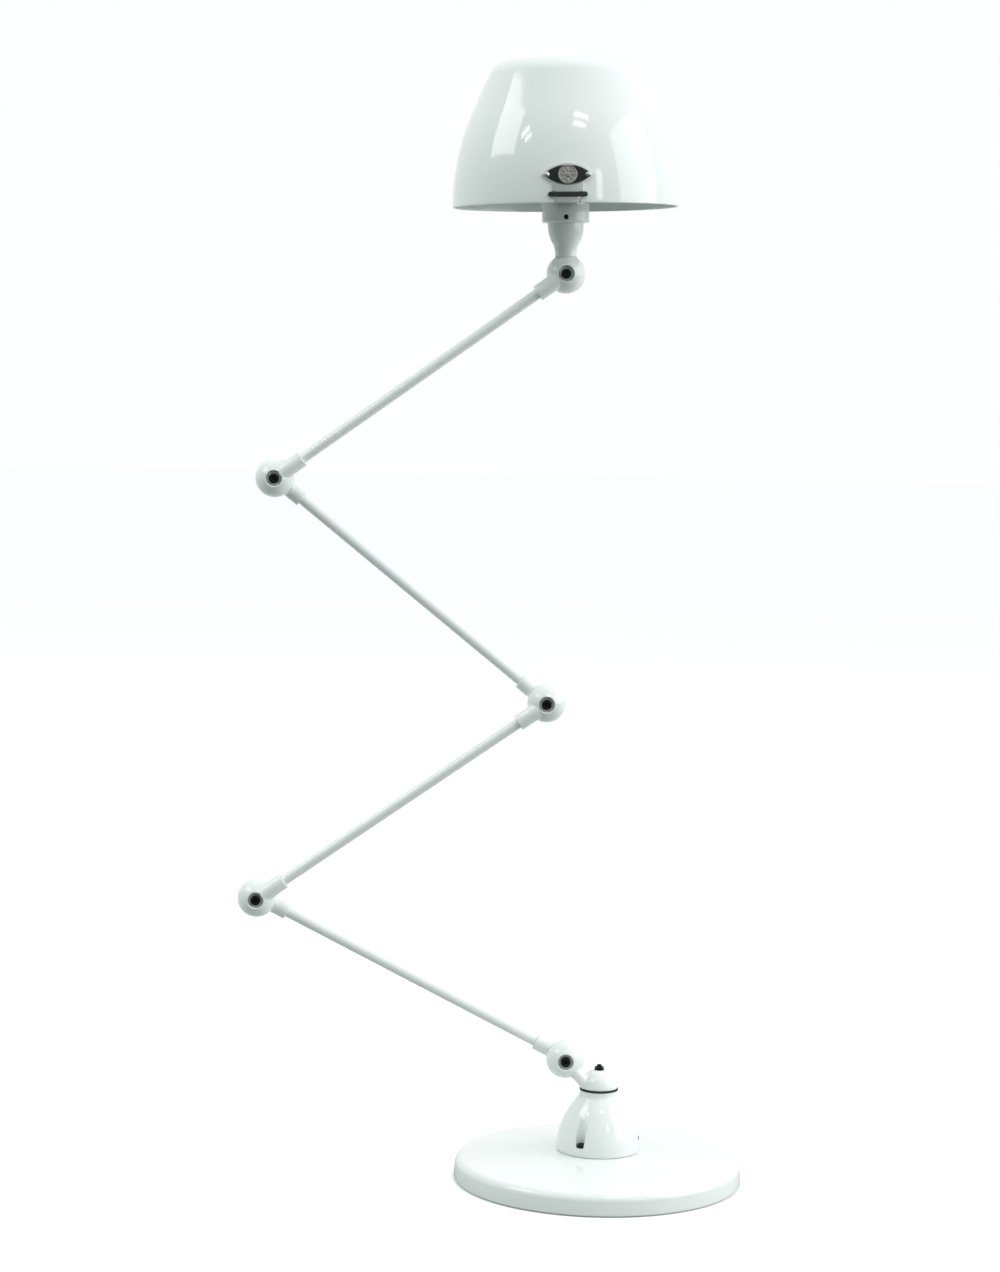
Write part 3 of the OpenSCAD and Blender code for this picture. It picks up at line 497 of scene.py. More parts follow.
round_the_axis = repeat_tree("parts_round_an_axis")
foot_screw = mesh_of(socket_screw(3.5, 3.5, 2.0, 2.0, 2.0, 17, 24), "foot_screw", oxide_steel)
foot_screws = grown(round_the_axis, shift(0, 0, bell_z + foot_t), part=foot_screw, count=3,
                    circle_radius=channel_reach * MM, first_angle=math.radians(channel_turn), finish=oxide_steel)
piece("foot_screws", [foot_screws], oxide_steel, "base", "black_steel", "bell_screws")


# ---------- Swivel ----------
# The elbow turns on a steel stud through the top of the bell. A small nut and washer on the cap hold it, and a
# black fibre ring between the bell and the cap gives it a smooth, even drag.

def fibre(name, colour):
    """Vulcanised fibre: matt black with a short felted grain."""
    material, tree = new_material(name)
    place = add_node(tree, "ShaderNodeTexCoord").outputs["Object"]
    felt = add_node(tree, "ShaderNodeTexNoise", {"Vector": place, "Scale": 1000 / 0.6, "Detail": 5.0})
    tone = add_node(tree, "ShaderNodeValToRGB", {"Fac": felt.outputs["Fac"]})
    tone.color_ramp.elements[0].color = linear(colour)
    tone.color_ramp.elements[1].color = linear("#2C2D2E")
    skin = add_node(tree, "ShaderNodeBump", {"Height": felt.outputs["Fac"], "Strength": 0.4, "Distance": 0.03 * MM})
    body = add_node(tree, "ShaderNodeBsdfPrincipled", {"Base Color": tone.outputs["Color"], "Roughness": 0.75,
                                                       "Normal": skin.outputs["Normal"]})
    add_node(tree, "ShaderNodeOutputMaterial", {"Surface": body.outputs[0]})
    return material


black_fibre = fibre("vulcanised_fibre", "#121314")
swivel_at = Vector(frame["joints"][0]["pos_m"])
cap_z = swivel_at.z / MM
ring_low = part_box("swivel_washer")[0].z / MM
ring = turned(rounded([(13, ring_low), (16.7, ring_low, 0.3), (16.7, cap_z - 0.05, 0.3), (13, cap_z - 0.05)]), 96)
piece("swivel_ring", [ring], black_fibre, "base", "black_fibre", "swivel_washer")

nut_low, nut_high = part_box("swivel_nut")
nut_z, nut_top = nut_low.z / MM, nut_high.z / MM
stud_low, stud_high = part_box("swivel_stud")
stud = turned(rounded([(0, stud_low.z / MM), (2, stud_low.z / MM), (2, stud_high.z / MM, 0.4),
                       (0, stud_high.z / MM)]), 40)
stud_head = moved(turned([(0, 0), (6, 0), (6, 5), (0, 5)], 6), shift(0, 0, stud_low.z / MM))
piece("swivel_stud_with_head", [stud, stud_head], oxide_steel, "base", "black_steel", "swivel_stud")

nut_washer = turned(rounded([(2.05, nut_z), (4.2, nut_z, 0.2), (4.2, nut_z + 0.8, 0.2), (2.05, nut_z + 0.8)]), 48)
nut_hexagon = turned([(2.05, nut_z + 0.75), (4, nut_z + 0.75), (4, nut_top - 0.8), (3.3, nut_top - 0.05),
                      (2.5, nut_top), (2.05, nut_top - 0.4)], 6)
piece("swivel_nut_and_washer", [nut_washer, nut_hexagon], oxide_steel, "base", "black_steel", "swivel_nut")


# ---------- Ball joint shells ----------
# Each end of an arm is a half-ball of cast aluminium with a sleeve that grips the arm tube. The casting
# blends into the sleeve with a 3 mm radius, its edges are just broken, and it is enamelled like the rest.

fine_enamel = enamel("stove_enamel_on_aluminium", "#EFF4F2", 2.5, 0.0006)
ball_r = 16.5
sleeve_r, sleeve_end, tube_r, socket_floor = 7, 29, 4.5, 17
pocket_r, pocket_depth = 12.6, 6.5
blend_r = 3.0
FRONT, REAR = -1, 1
head_joint = Vector(frame["joints"][5]["pos_m"])
ball_at = [Vector(j["pos_m"]) for j in frame["joints"][1:]]


def skinned(rings):
    """A closed solid through rings of points, in millimetres. A ring of one point closes an end."""
    bm = bmesh.new()
    around = max(len(ring) for ring in rings)
    rows = [[bm.verts.new(Vector(p) * MM) for p in ring] * (around // len(ring)) for ring in rings]
    for low, high in zip(rows, rows[1:]):
        for k in range(around):
            n = (k + 1) % around
            bm.faces.new(list(dict.fromkeys([low[k], low[n], high[n], high[k]])))
    bmesh.ops.recalc_face_normals(bm, faces=bm.faces)
    return bm


def ball_blend(start, way, side, radius, ball, big_r, leaving):
    """Points from inside a ball's skin, along a rolling-ball fillet, to a round bar's side, at one angle
    of the bar."""
    offset = Vector(start) + side * (radius + blend_r) - ball
    along = offset.dot(way)
    root = math.sqrt(along ** 2 - offset.length_squared + (big_r + blend_r) ** 2)
    roller = ball + offset + way * (-along + (root if leaving else -root))
    on_bar = -side * blend_r
    on_ball = (ball - roller).normalized() * blend_r
    swing = on_ball.angle(on_bar)
    fillet = [roller + (on_ball * math.sin(swing * (1 - t)) + on_bar * math.sin(swing * t)) / math.sin(swing)
              for t in (k / 16 for k in range(17))]
    line = Vector(start) - ball
    mid = line.dot(way)
    reach = math.sqrt(mid ** 2 - line.length_squared + (big_r - 1) ** 2)
    hub = line + way * (-mid + (reach if leaving else -reach))
    inside = [ball + (hub.lerp(fillet[0] - ball, t)).normalized() * (big_r - 1) for t in (0.35, 0.7, 0.96)]
    return [ball + hub] + inside + fillet


def sliced(bm, point, keep):
    """Cuts a solid off flat at a point, keeps the side that keep points to, and closes the cut."""
    bmesh.ops.bisect_plane(bm, geom=bm.verts[:] + bm.edges[:] + bm.faces[:], plane_co=Vector(point) * MM,
                           plane_no=keep, clear_inner=True)
    bmesh.ops.holes_fill(bm, edges=[e for e in bm.edges if e.is_boundary], sides=0)
    bmesh.ops.recalc_face_normals(bm, faces=bm.faces)
    return bm


def half_ball(side):
    """Half of a joint's ball, with its pocket inside, and in front the bolt head's chamfered recess."""
    edge = [(pocket_r, 0.3), (16.085, 0.3)] + arc((16.085, 0.7), 0.4, -70, 0, 4)
    first = math.degrees(math.asin(0.7 / ball_r))
    if side == FRONT:
        lip = math.degrees(math.atan2(14.85, 7.19))
        outline = (edge + arc((0, 0), ball_r, first + 1, lip - 1.2, 34)
                   + rounded([(9, 14.2), (7.19, 14.85, 0.35), (6.5, 14.166, 0.3), (6.5, 10.5), (2.6, 10.5)])[1:]
                   + [(2.6, pocket_depth), (pocket_r, pocket_depth)])
    else:
        outline = (edge + arc((0, 0), ball_r, first + 1, 90, 40)
                   + [(0, 13), (2.55, 13), (2.55, pocket_depth), (pocket_r, pocket_depth)])
    return moved(turned(outline, 128), turn(-90 * side, "X"))


def sleeve(side):
    """The sleeve that leaves a half-ball along +X, with the socket for the tube in its end."""
    end = rounded([(sleeve_r, 20), (sleeve_r, sleeve_end, 0.7), (tube_r + 0.08, sleeve_end, 0.25),
                   (tube_r + 0.08, socket_floor), (0, socket_floor)])[1:]
    columns = []
    for k in range(96):
        a = math.tau * k / 96
        way_out = Vector((0, math.cos(a), math.sin(a)))
        columns.append(ball_blend((0, 8 * side, 0), Vector((1, 0, 0)), way_out, sleeve_r,
                                  Vector((0, 0, 0)), ball_r, True)
                       + [Vector((x, 8 * side, 0)) + way_out * r for r, x in end])
    between = [[c[i] for c in columns] for i in range(1, len(columns[0]) - 1)]
    rings = [[columns[0][0]]] + between + [[columns[0][-1]]]
    return sliced(skinned(rings), (0, 0.3 * side, 0), Vector((0, side, 0)))


def shell(side, at, toward):
    """One half-ball with its sleeve, at a joint, pointing to the arm's other joint."""
    way = toward - at
    steps = (Matrix.Rotation(-math.atan2(way.z, way.x), 4, "Y"), Matrix.Translation(at))
    return [moved(half_ball(side), *steps), moved(sleeve(side), *steps)]


for arm in (1, 2, 3, 4):
    side = REAR if arm % 2 else FRONT
    low, high = ball_at[arm - 1], ball_at[arm]
    piece(f"arm_{arm}_lower_half_ball", shell(side, low, high), fine_enamel, f"arm_{arm}", "enamel_aluminium",
          f"arm_{arm}_lower_shell")
    piece(f"arm_{arm}_upper_half_ball", shell(side, high, low), fine_enamel, f"arm_{arm}", "enamel_aluminium",
          f"arm_{arm}_upper_shell")


# ---------- Arm tubes and leads ----------
# Four seamless steel tubes of 9 mm with a 1 mm wall, enamelled and pressed into the sleeves. A black
# sheathed lead runs inside each one between the contact discs of its two joints.

tube_enamel = enamel("stove_enamel_on_steel_tube", "#EEF3F1", 3.0, 0.0005)
arm_len = (ball_at[1] - ball_at[0]).length / MM
for arm in (1, 2, 3, 4):
    side = REAR if arm % 2 else FRONT
    way = ball_at[arm] - ball_at[arm - 1]
    tube = turned(rounded([(tube_r - 1, 0), (tube_r, 0, 0.2), (tube_r, 8), (tube_r, 60), (tube_r, 133),
                           (tube_r, 206), (tube_r, 258), (tube_r, arm_len - 2 * socket_floor, 0.2),
                           (tube_r - 1, arm_len - 2 * socket_floor)]), 64)
    moved(tube, shift(0, 0, socket_floor), turn(90, "Y"), shift(0, 8 * side, 0),
          Matrix.Rotation(-math.atan2(way.z, way.x), 4, "Y"), Matrix.Translation(ball_at[arm - 1]))
    piece(f"arm_{arm}_steel_tube", [tube], tube_enamel, f"arm_{arm}", "enamel_steel", f"arm_{arm}_tube")

sheath = rubber("lead_sheath_rubber", "#1C1D1E", 0.5)
for arm in (1, 2, 3, 4):
    lead = frame["nodes"][f"arm_{arm}_lead"]
    lead.data.materials.clear()
    lead.data.materials.append(sheath)


# ---------- Clamp bolts and friction washers ----------
# A black socket-head bolt clamps each ball, with its head down in the recess in front. A thin fibre washer
# between the two half-balls gives the joint its drag and shows as a dark line.

bolt = mesh_of(moved(socket_screw(4.25, 4.5, 2.3, 2.5, 2.5, 23, 30), shift(0, 0, 10.55)), "clamp_bolt", oxide_steel)
facing_front = turn(90, "X")
for body, first, last in (("arm_1", 0, 1), ("arm_3", 2, 3)):
    way = ball_at[last] - ball_at[first]
    bolts = grown(round_the_axis, facing_front, part=bolt, count=2, circle_radius=way.length / 2, first_angle=0.0,
                  finish=oxide_steel)
    moved(bolts, Matrix.Rotation(-math.atan2(way.z, way.x), 4, "Y"),
          Matrix.Translation((ball_at[first] + ball_at[last]) / 2))
    piece(f"{body}_clamp_bolts", [bolts], oxide_steel, body, "black_steel", f"joint_{first}_bolt",
          f"joint_{last}_bolt")
head_bolt = grown(round_the_axis, facing_front, part=bolt, count=1, circle_radius=0.0, first_angle=0.0,
                  finish=oxide_steel)
piece("head_clamp_bolt", [moved(head_bolt, Matrix.Translation(head_joint))], oxide_steel, "lamp_head",
      "black_steel", "joint_4_bolt")

washer_body = {0: "arm_1", 1: "arm_1", 2: "arm_3", 3: "arm_3", 4: "lamp_head"}
for n, at in enumerate(ball_at):
    washer = moved(turned([(13, 0), (16.05, 0), (16.05, 0.5), (13, 0.5)], 96), shift(0, 0, -0.25), facing_front,
                   Matrix.Translation(at))
    piece(f"joint_{n}_fibre_washer", [washer], black_fibre, washer_body[n], "black_fibre", f"joint_{n}_washer")


# ---------- Contact discs ----------
# Inside each joint a moulded bakelite disc carries two brass tracks, and brushes on a second disc run on
# them, so the lamp can fold with no cable outside. They are closed in by the half-balls.

def bakelite(name, colour):
    """Moulded phenolic: deep brown and glossy, with a faint flow of darker filler."""
    material, tree = new_material(name)
    place = add_node(tree, "ShaderNodeTexCoord").outputs["Object"]
    flow = add_node(tree, "ShaderNodeTexNoise", {"Vector": place, "Scale": 1 / 0.006, "Detail": 4.0,
                                                 "Distortion": 1.5})
    tone = add_node(tree, "ShaderNodeValToRGB", {"Fac": flow.outputs["Fac"]})
    tone.color_ramp.elements[0].color = linear(colour)
    tone.color_ramp.elements[1].color = linear("#4A2E20")
    body = add_node(tree, "ShaderNodeBsdfPrincipled", {"Base Color": tone.outputs["Color"], "Roughness": 0.3,
                                                       "IOR": 1.6})
    add_node(tree, "ShaderNodeOutputMaterial", {"Surface": body.outputs[0]})
    return material


def bare_metal(name, colour, scratch_mm, low, high):
    """Bare or plated metal with fine turning and handling marks, which only vary its gloss."""
    material, tree = new_material(name)
    place = add_node(tree, "ShaderNodeTexCoord").outputs["Object"]
    marks = add_node(tree, "ShaderNodeTexNoise", {"Vector": place, "Scale": 1000 / scratch_mm, "Detail": 6.0})
    gloss = add_node(tree, "ShaderNodeMapRange", {"Value": marks.outputs["Fac"], "To Min": low, "To Max": high})
    tarnish = add_node(tree, "ShaderNodeTexNoise", {"Vector": place, "Scale": 1 / 0.008, "Detail": 3.0})
    tone = add_node(tree, "ShaderNodeValToRGB", {"Fac": tarnish.outputs["Fac"]})
    tone.color_ramp.elements[0].color = [c * 0.82 for c in linear(colour)[:3]] + [1]
    tone.color_ramp.elements[1].color = linear(colour)
    metal = add_node(tree, "ShaderNodeBsdfPrincipled", {"Base Color": tone.outputs["Color"], "Metallic": 1.0,
                                                        "Roughness": gloss.outputs["Result"]})
    add_node(tree, "ShaderNodeOutputMaterial", {"Surface": metal.outputs[0]})
    return material


brown_bakelite = bakelite("moulded_bakelite", "#2B1A13")
contact_brass = bare_metal("spun_brass", "#C9A45A", 0.5, 0.22, 0.36)
for name, finish in ([("swivel_contact_disc", brown_bakelite), ("swivel_brush_disc", contact_brass),
                      ("lampholder_contacts", contact_brass)]
                     + [(f"joint_{n}_contact_disc", brown_bakelite) for n in range(5)]
                     + [(f"joint_{n}_brush_disc", contact_brass) for n in range(5)]):
    disc = frame["nodes"][name]
    disc.data.materials.clear()
    disc.data.materials.append(finish)


# ---------- Elbow ----------
# One aluminium casting turns on the bell: a round cap, a short slanting neck and the front half of the
# lowest ball. All three run into each other with soft radii under the enamel.

cap_r = 16.2
nut_seat = nut_z - 0.05
first_angle = math.degrees(math.asin(0.4 / cap_r))
cap_line = ([(12.6, cap_z), (cap_r - 0.5, cap_z)] + arc((cap_r - 0.5, cap_z + 0.4), 0.4, -70, -10, 4)
            + arc((0, cap_z), cap_r, first_angle + 1.5, math.degrees(math.acos(6.2 / cap_r)), 30)
            + rounded([(6.2, nut_seat - 0.38), (5.2, nut_seat, 0.5), (2.25, nut_seat)])[1:]
            + [(2.25, cap_z + 6.5), (12.6, cap_z + 6.5)])
cap = turned(cap_line, 128)
lowest = ball_at[0] / MM
neck_from = lowest + Vector((0, -8, 0))
neck_to = Vector((lowest.x * 0.28, -5, cap_z))
neck_way = (neck_to - neck_from).normalized()
across = neck_way.cross(Vector((0, 1, 0))).normalized()
upright = neck_way.cross(across)
columns = []
for k in range(96):
    a = math.tau * k / 96
    out = across * math.cos(a) + upright * math.sin(a)
    columns.append(ball_blend(neck_from, neck_way, out, 5.25, lowest, ball_r, True)
                   + ball_blend(neck_from, neck_way, out, 5.25, Vector((0, 0, cap_z)), cap_r, False)[::-1])
neck = skinned([[columns[0][0]]] + [[c[i] for c in columns] for i in range(1, len(columns[0]) - 1)]
               + [[columns[0][-1]]])
sliced(neck, (0, -0.3, 0), Vector((0, -1, 0)))
sliced(neck, (0, 0, cap_z + 0.4), Vector((0, 0, 1)))
elbow_ball = moved(half_ball(FRONT), Matrix.Translation(ball_at[0]))
piece("elbow_casting", [cap, neck, elbow_ball], fine_enamel, "swivel_head", "enamel_aluminium", "swivel_elbow")


# ---------- Head casting ----------
# The rear half of the top ball grows into a short neck that opens into a cup under the collar. It is one
# aluminium casting, cut away in front so that the arm's half-ball can turn.

axis_at = (sum(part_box("lampholder"), Vector()) / 2 - head_joint).normalized()
head_turn = Matrix.Translation(head_joint) @ Matrix.Rotation(math.atan2(axis_at.x, axis_at.z), 4, "Y")
cup_r, collar_z, collar_top = 15.3, 42.5, 57.8
root_z = math.sqrt((ball_r + 2.5) ** 2 - 11.5 ** 2)
root = [(11.5 * ball_r / 19, root_z * ball_r / 19)]
root_from = math.degrees(math.atan2(root[0][1] - root_z, root[0][0] - 11.5))
head_line = ([(0, 12), (9.2, 12.4)] + arc((11.5, root_z), 2.5, root_from, -180, 8)
             + [(9.1, 17), (9.4, 20), (9.9, 22.6), (10.4, 24.2)]
             + [(10.3 + 5 * math.sin(math.radians(90 * (i / 16) ** 0.75)), 24.5 + 18 * i / 16)
                for i in range(1, 17)]
             + [(cup_r, 45), (17.6, 45), (17.6, 49), (0, 49)])
room_for_ball = moved(turned([(0, -0.3)] + arc((0, 0), 17, -1, -90, 30), 96), turn(-90, "X"))
neck_and_cup = cut(turned(head_line, 128), room_for_ball)
head_parts = [moved(neck_and_cup, head_turn), moved(half_ball(REAR), head_turn)]
piece("head_casting", head_parts, fine_enamel, "lamp_head", "enamel_aluminium", "head_neck")


# ---------- Collar ----------
# A turned aluminium ring over the cup clamps the lampholder and the shade's bracket. A black grub screw
# in a small countersink in front locks it.

grub_z = 47
collar = turned(rounded([(cup_r + 0.1, collar_z + 0.3), (18.9, collar_z, 0.6), (20, collar_z + 1.1, 0.8),
                         (20, collar_top, 0.5), (17.7, collar_top), (17.7, 45), (cup_r + 0.1, 45)]), 128)
grub_hole = moved(turned([(0, 0), (2.05, 0), (2.05, 3.4), (3.0, 4.6), (0, 4.6)], 40), turn(90, "X"),
                  shift(0, -16, grub_z))
piece("collar_ring", [moved(cut(collar, grub_hole), head_turn)], fine_enamel, "lamp_head", "enamel_aluminium",
      "collar")
grub = turned(rounded([(0, 0), (2, 0), (2, 1.8, 0.25), (0, 1.8)]), 32)
grub = cut(grub, turned([(0, 0.6), (1.15, 0.6), (1.15, 2.2), (0, 2.2)], 6))
moved(grub, turn(90, "X"), shift(0, -17.7, grub_z), head_turn)
piece("collar_grub_screw", [grub], oxide_steel, "lamp_head", "black_steel", "collar_screw")


# ---------- Lampholder ----------
# A white moulded holder for a screw-cap bulb stands in the collar. Its skirt is threaded, and a ribbed
# ring screwed down on it would hold a shade from inside; here it clamps the bracket.

def moulded(name, colour, low, high):
    """Thermoset moulding: an even, waxy gloss with very faint flow marks."""
    material, tree = new_material(name)
    place = add_node(tree, "ShaderNodeTexCoord").outputs["Object"]
    flow = add_node(tree, "ShaderNodeTexNoise", {"Vector": place, "Scale": 1 / 0.02, "Detail": 3.0})
    gloss = add_node(tree, "ShaderNodeMapRange", {"Value": flow.outputs["Fac"], "To Min": low, "To Max": high})
    tone = add_node(tree, "ShaderNodeValToRGB", {"Fac": flow.outputs["Fac"]})
    tone.color_ramp.elements[0].color = [c * 0.95 for c in linear(colour)[:3]] + [1]
    tone.color_ramp.elements[1].color = linear(colour)
    body = add_node(tree, "ShaderNodeBsdfPrincipled", {"Base Color": tone.outputs["Color"], "IOR": 1.55,
                                                       "Roughness": gloss.outputs["Result"]})
    add_node(tree, "ShaderNodeOutputMaterial", {"Surface": body.outputs[0]})
    return material


def thread_tree(name):
    """A node tree that winds a round thread. Its inputs are the radius, the pitch, the turns and the
    thread's thickness."""
    tree = bpy.data.node_groups.new(name, "GeometryNodeTree")
    for label, kind in (("Radius", "NodeSocketFloat"), ("Pitch", "NodeSocketFloat"), ("Turns", "NodeSocketFloat"),
                        ("Thickness", "NodeSocketFloat"), ("Finish", "NodeSocketMaterial")):
        tree.interface.new_socket(label, in_out="INPUT", socket_type=kind)
    tree.interface.new_socket("Geometry", in_out="OUTPUT", socket_type="NodeSocketGeometry")
    given = add_node(tree, "NodeGroupInput").outputs
    height = add_node(tree, "ShaderNodeMath", {0: given["Pitch"], 1: given["Turns"]}, operation="MULTIPLY")
    coil = add_node(tree, "GeometryNodeCurveSpiral", {
        "Resolution": 48, "Rotations": given["Turns"], "Start Radius": given["Radius"],
        "End Radius": given["Radius"], "Height": height.outputs[0]})
    wire = add_node(tree, "GeometryNodeCurvePrimitiveCircle", {"Resolution": 10, "Radius": given["Thickness"]})
    swept = add_node(tree, "GeometryNodeCurveToMesh", {"Curve": coil.outputs[0], "Profile Curve": wire.outputs[0],
                                                       "Fill Caps": True})
    real = add_node(tree, "GeometryNodeRealizeInstances", {0: swept.outputs[0]})
    done = add_node(tree, "GeometryNodeSetMaterial", {"Geometry": real.outputs[0], "Material": given["Finish"]})
    add_node(tree, "NodeGroupOutput", {0: done.outputs[0]})
    return tree


white_thermoset = moulded("white_thermoset", "#E6E8E4", 0.16, 0.28)
holder_r, holder_z, holder_top, bore_z = 17.4, 49, 87, 61
wound_thread = thread_tree("wound_thread")
bore_r = 13.8
holder = turned(rounded([(2.6, holder_z), (holder_r, holder_z), (holder_r, holder_top, 0.8),
                         (bore_r, holder_top, 0.6), (bore_r, bore_z), (2.6, bore_z)]), 96)
holder_thread = grown(wound_thread, shift(0, 0, 66.5), radius=(holder_r - 0.15) * MM, pitch=2.5 * MM, turns=7.0,
                      thickness=0.5 * MM, finish=white_thermoset)
piece("lampholder_body", [moved(holder, head_turn), moved(holder_thread, head_turn)], white_thermoset, "lamp_head",
      "holder_plastic", "lampholder")

rib = mesh_of(turned(rounded([(0, 0.5), (0.55, 0.5, 0.3), (0.55, 5.5, 0.3), (0, 5.5)]), 10), "ring_rib",
              white_thermoset)
ribs = grown(round_the_axis, shift(0, 0, 59.35), part=rib, count=36, circle_radius=21.6 * MM, first_angle=0.0,
             finish=white_thermoset)
shade_ring = turned(rounded([(17.95, 59.35), (21.8, 59.35, 0.5), (21.8, 65.3, 0.8), (17.95, 65.3, 0.4)]), 96)
piece("shade_ring_ribbed", [moved(shade_ring, head_turn), moved(ribs, head_turn)], white_thermoset, "lamp_head",
      "holder_plastic", "shade_ring")


# ---------- Bulb ----------
# A round screw-cap bulb: a rolled brass thread with a soldered brass tip, cemented to a globe
# of glass that is frosted inside.

bulb_z = 62
cap_shell = turned(rounded([(0, bulb_z + 3.2), (8.6, bulb_z + 3.2), (12.3, bulb_z + 5, 1.2),
                            (12.3, bulb_z + 21, 0.8), (13.1, bulb_z + 22, 0.6), (13.1, bulb_z + 25),
                            (0, bulb_z + 25)]), 72)
cap_thread = grown(wound_thread, shift(0, 0, bulb_z + 6.5), radius=12.2 * MM, pitch=3.63 * MM, turns=3.5,
                   thickness=0.95 * MM, finish=contact_brass)
cap_tip = turned(rounded([(0, bulb_z), (3.6, bulb_z, 1.2), (4.6, bulb_z + 1.2), (8.8, bulb_z + 3.3),
                          (0, bulb_z + 3.3)]), 40)
piece("bulb_screw_cap", [moved(part, head_turn) for part in (cap_shell, cap_thread, cap_tip)], contact_brass,
      "lamp_head", "contact_brass", "bulb_cap")

frosted, tree = new_material("inside_frosted_glass")
place = add_node(tree, "ShaderNodeTexCoord").outputs["Object"]
etch = add_node(tree, "ShaderNodeTexNoise", {"Vector": place, "Scale": 1000 / 1.2, "Detail": 3.0})
mist = add_node(tree, "ShaderNodeMapRange", {"Value": etch.outputs["Fac"], "To Min": 0.38, "To Max": 0.5})
glass = add_node(tree, "ShaderNodeBsdfPrincipled", {
    "Base Color": linear("#F7F6F0"), "Roughness": mist.outputs["Result"], "Transmission Weight": 0.55,
    "IOR": 1.5, "Coat Weight": 0.8, "Coat Roughness": 0.04})
add_node(tree, "ShaderNodeOutputMaterial", {"Surface": glass.outputs[0]})
globe_z, globe_r = bulb_z + 73, 30
flare = (globe_r * math.cos(math.radians(-35)), globe_z + globe_r * math.sin(math.radians(-35)))
neck_line = [(12.8 + (flare[0] - 12.8) * math.sin(math.radians(90 * t)) ** 1.6, 87 + (flare[1] - 87) * t)
             for t in (k / 14 for k in range(14))]
globe_line = neck_line + arc((0, globe_z), globe_r, -35, 90, 40)
inner_line = [(r - 0.9, z) for r, z in neck_line] + arc((0, globe_z), globe_r - 0.9, -35, 90, 40)
piece("bulb_globe", [moved(turned(globe_line + inner_line[::-1], 96), head_turn)], frosted, "lamp_head",
      "bulb_glass", "bulb_glass")


# ---------- Shade ----------
# A deep dome spun from 1.2 mm aluminium sheet and enamelled gloss white inside and out. The rim's edge is
# just rounded, and a notch in front lets the bracket in.

rim_z, shade_r, shade_h, wall = 55.5, 95, 124, 1.2
side_r, lean, shoulder_r, top_rise = 190, 24.5, 19.5, 2.6
side_x = shade_r - side_r


def shade_line(out):
    """The shade's outline, a distance out from its outer surface, from the rim to the middle of the top."""
    side_way = Vector((math.cos(math.radians(lean)), math.sin(math.radians(lean))))
    side_end = Vector((side_x, 0)) + side_way * side_r
    run = Vector((-side_way.y, side_way.x))
    shoulder_z = shade_h - top_rise - shoulder_r
    centre = side_end + run * ((shoulder_z - side_end.y + shoulder_r * side_way.y) / run.y) - side_way * shoulder_r
    edge = math.atan2(2 * centre.x * top_rise, centre.x ** 2 - top_rise ** 2)
    top_r = centre.x / math.sin(edge) + shoulder_r
    top_centre = (0, centre.y - (top_r - shoulder_r) * math.cos(edge))
    edge = math.degrees(edge)
    straight = [side_end + side_way * out + run * t for t in (4, 8, 12, 16, 20, 24)
                if side_end.y + run.y * t < centre.y + (shoulder_r + out) * side_way.y - 1]
    return (arc((side_x, 0), side_r + out, 0.25, lean, 48) + straight
            + arc(centre, shoulder_r + out, lean, 90 - edge, 28)
            + arc(top_centre, top_r + out, 90 - edge + 0.25, 90, 24))


spun_enamel = enamel("stove_enamel_on_spun_aluminium", "#EDF3F1", 6.0, 0.0006)
outside, within = shade_line(0), shade_line(-wall)[::-1]
dome = turned([(shade_r - 0.35, 0.02), (shade_r - 0.08, 0.3)] + outside + within
              + [(shade_r - wall + 0.08, 0.3), (shade_r - wall + 0.35, 0.02)], 256)


def upright_prism(outline, near, far):
    """A solid with a flat outline (x, z), from near to far along Y, in millimetres."""
    bm = bmesh.new()
    ends = [[bm.verts.new((x * MM, y * MM, z * MM)) for x, z in outline] for y in (near, far)]
    for k in range(len(outline)):
        n = (k + 1) % len(outline)
        bm.faces.new([ends[0][k], ends[0][n], ends[1][n], ends[1][k]])
    for end in ends:
        bm.faces.new(end)
    bmesh.ops.recalc_face_normals(bm, faces=bm.faces)
    return bm


notch = upright_prism(rounded([(-11, -3), (11, -3), (11, 5.5, 1.6), (-11, 5.5, 1.6)]), -120, -60)
dome = moved(cut(dome, notch), shift(0, 0, rim_z), head_turn)
piece("spun_shade", [dome], spun_enamel, "lamp_head", "enamel_aluminium", "shade", crease=40)


# ---------- Bracket and buffer ----------
# A nickel-plated strip holds the shade to the head: a ring under the shade ring, an arm to the front and a
# leaf that turns up outside the shade behind the nameplate. A rubber buffer lies across it at the notch.

def on_side(x, z, out):
    """The point of the shade's side at x and at height z above the rim, moved outwards by out."""
    radius = side_x + math.sqrt((side_r + out) ** 2 - z ** 2)
    return x, -math.sqrt(radius ** 2 - x ** 2), z


def lens_width(width, height, v):
    """Half the width of a pointed oval at height v above its middle."""
    r = (width ** 2 + height ** 2) / (4 * height)
    return math.sqrt(max(r ** 2 - (abs(v) + r - height / 2) ** 2, 0))


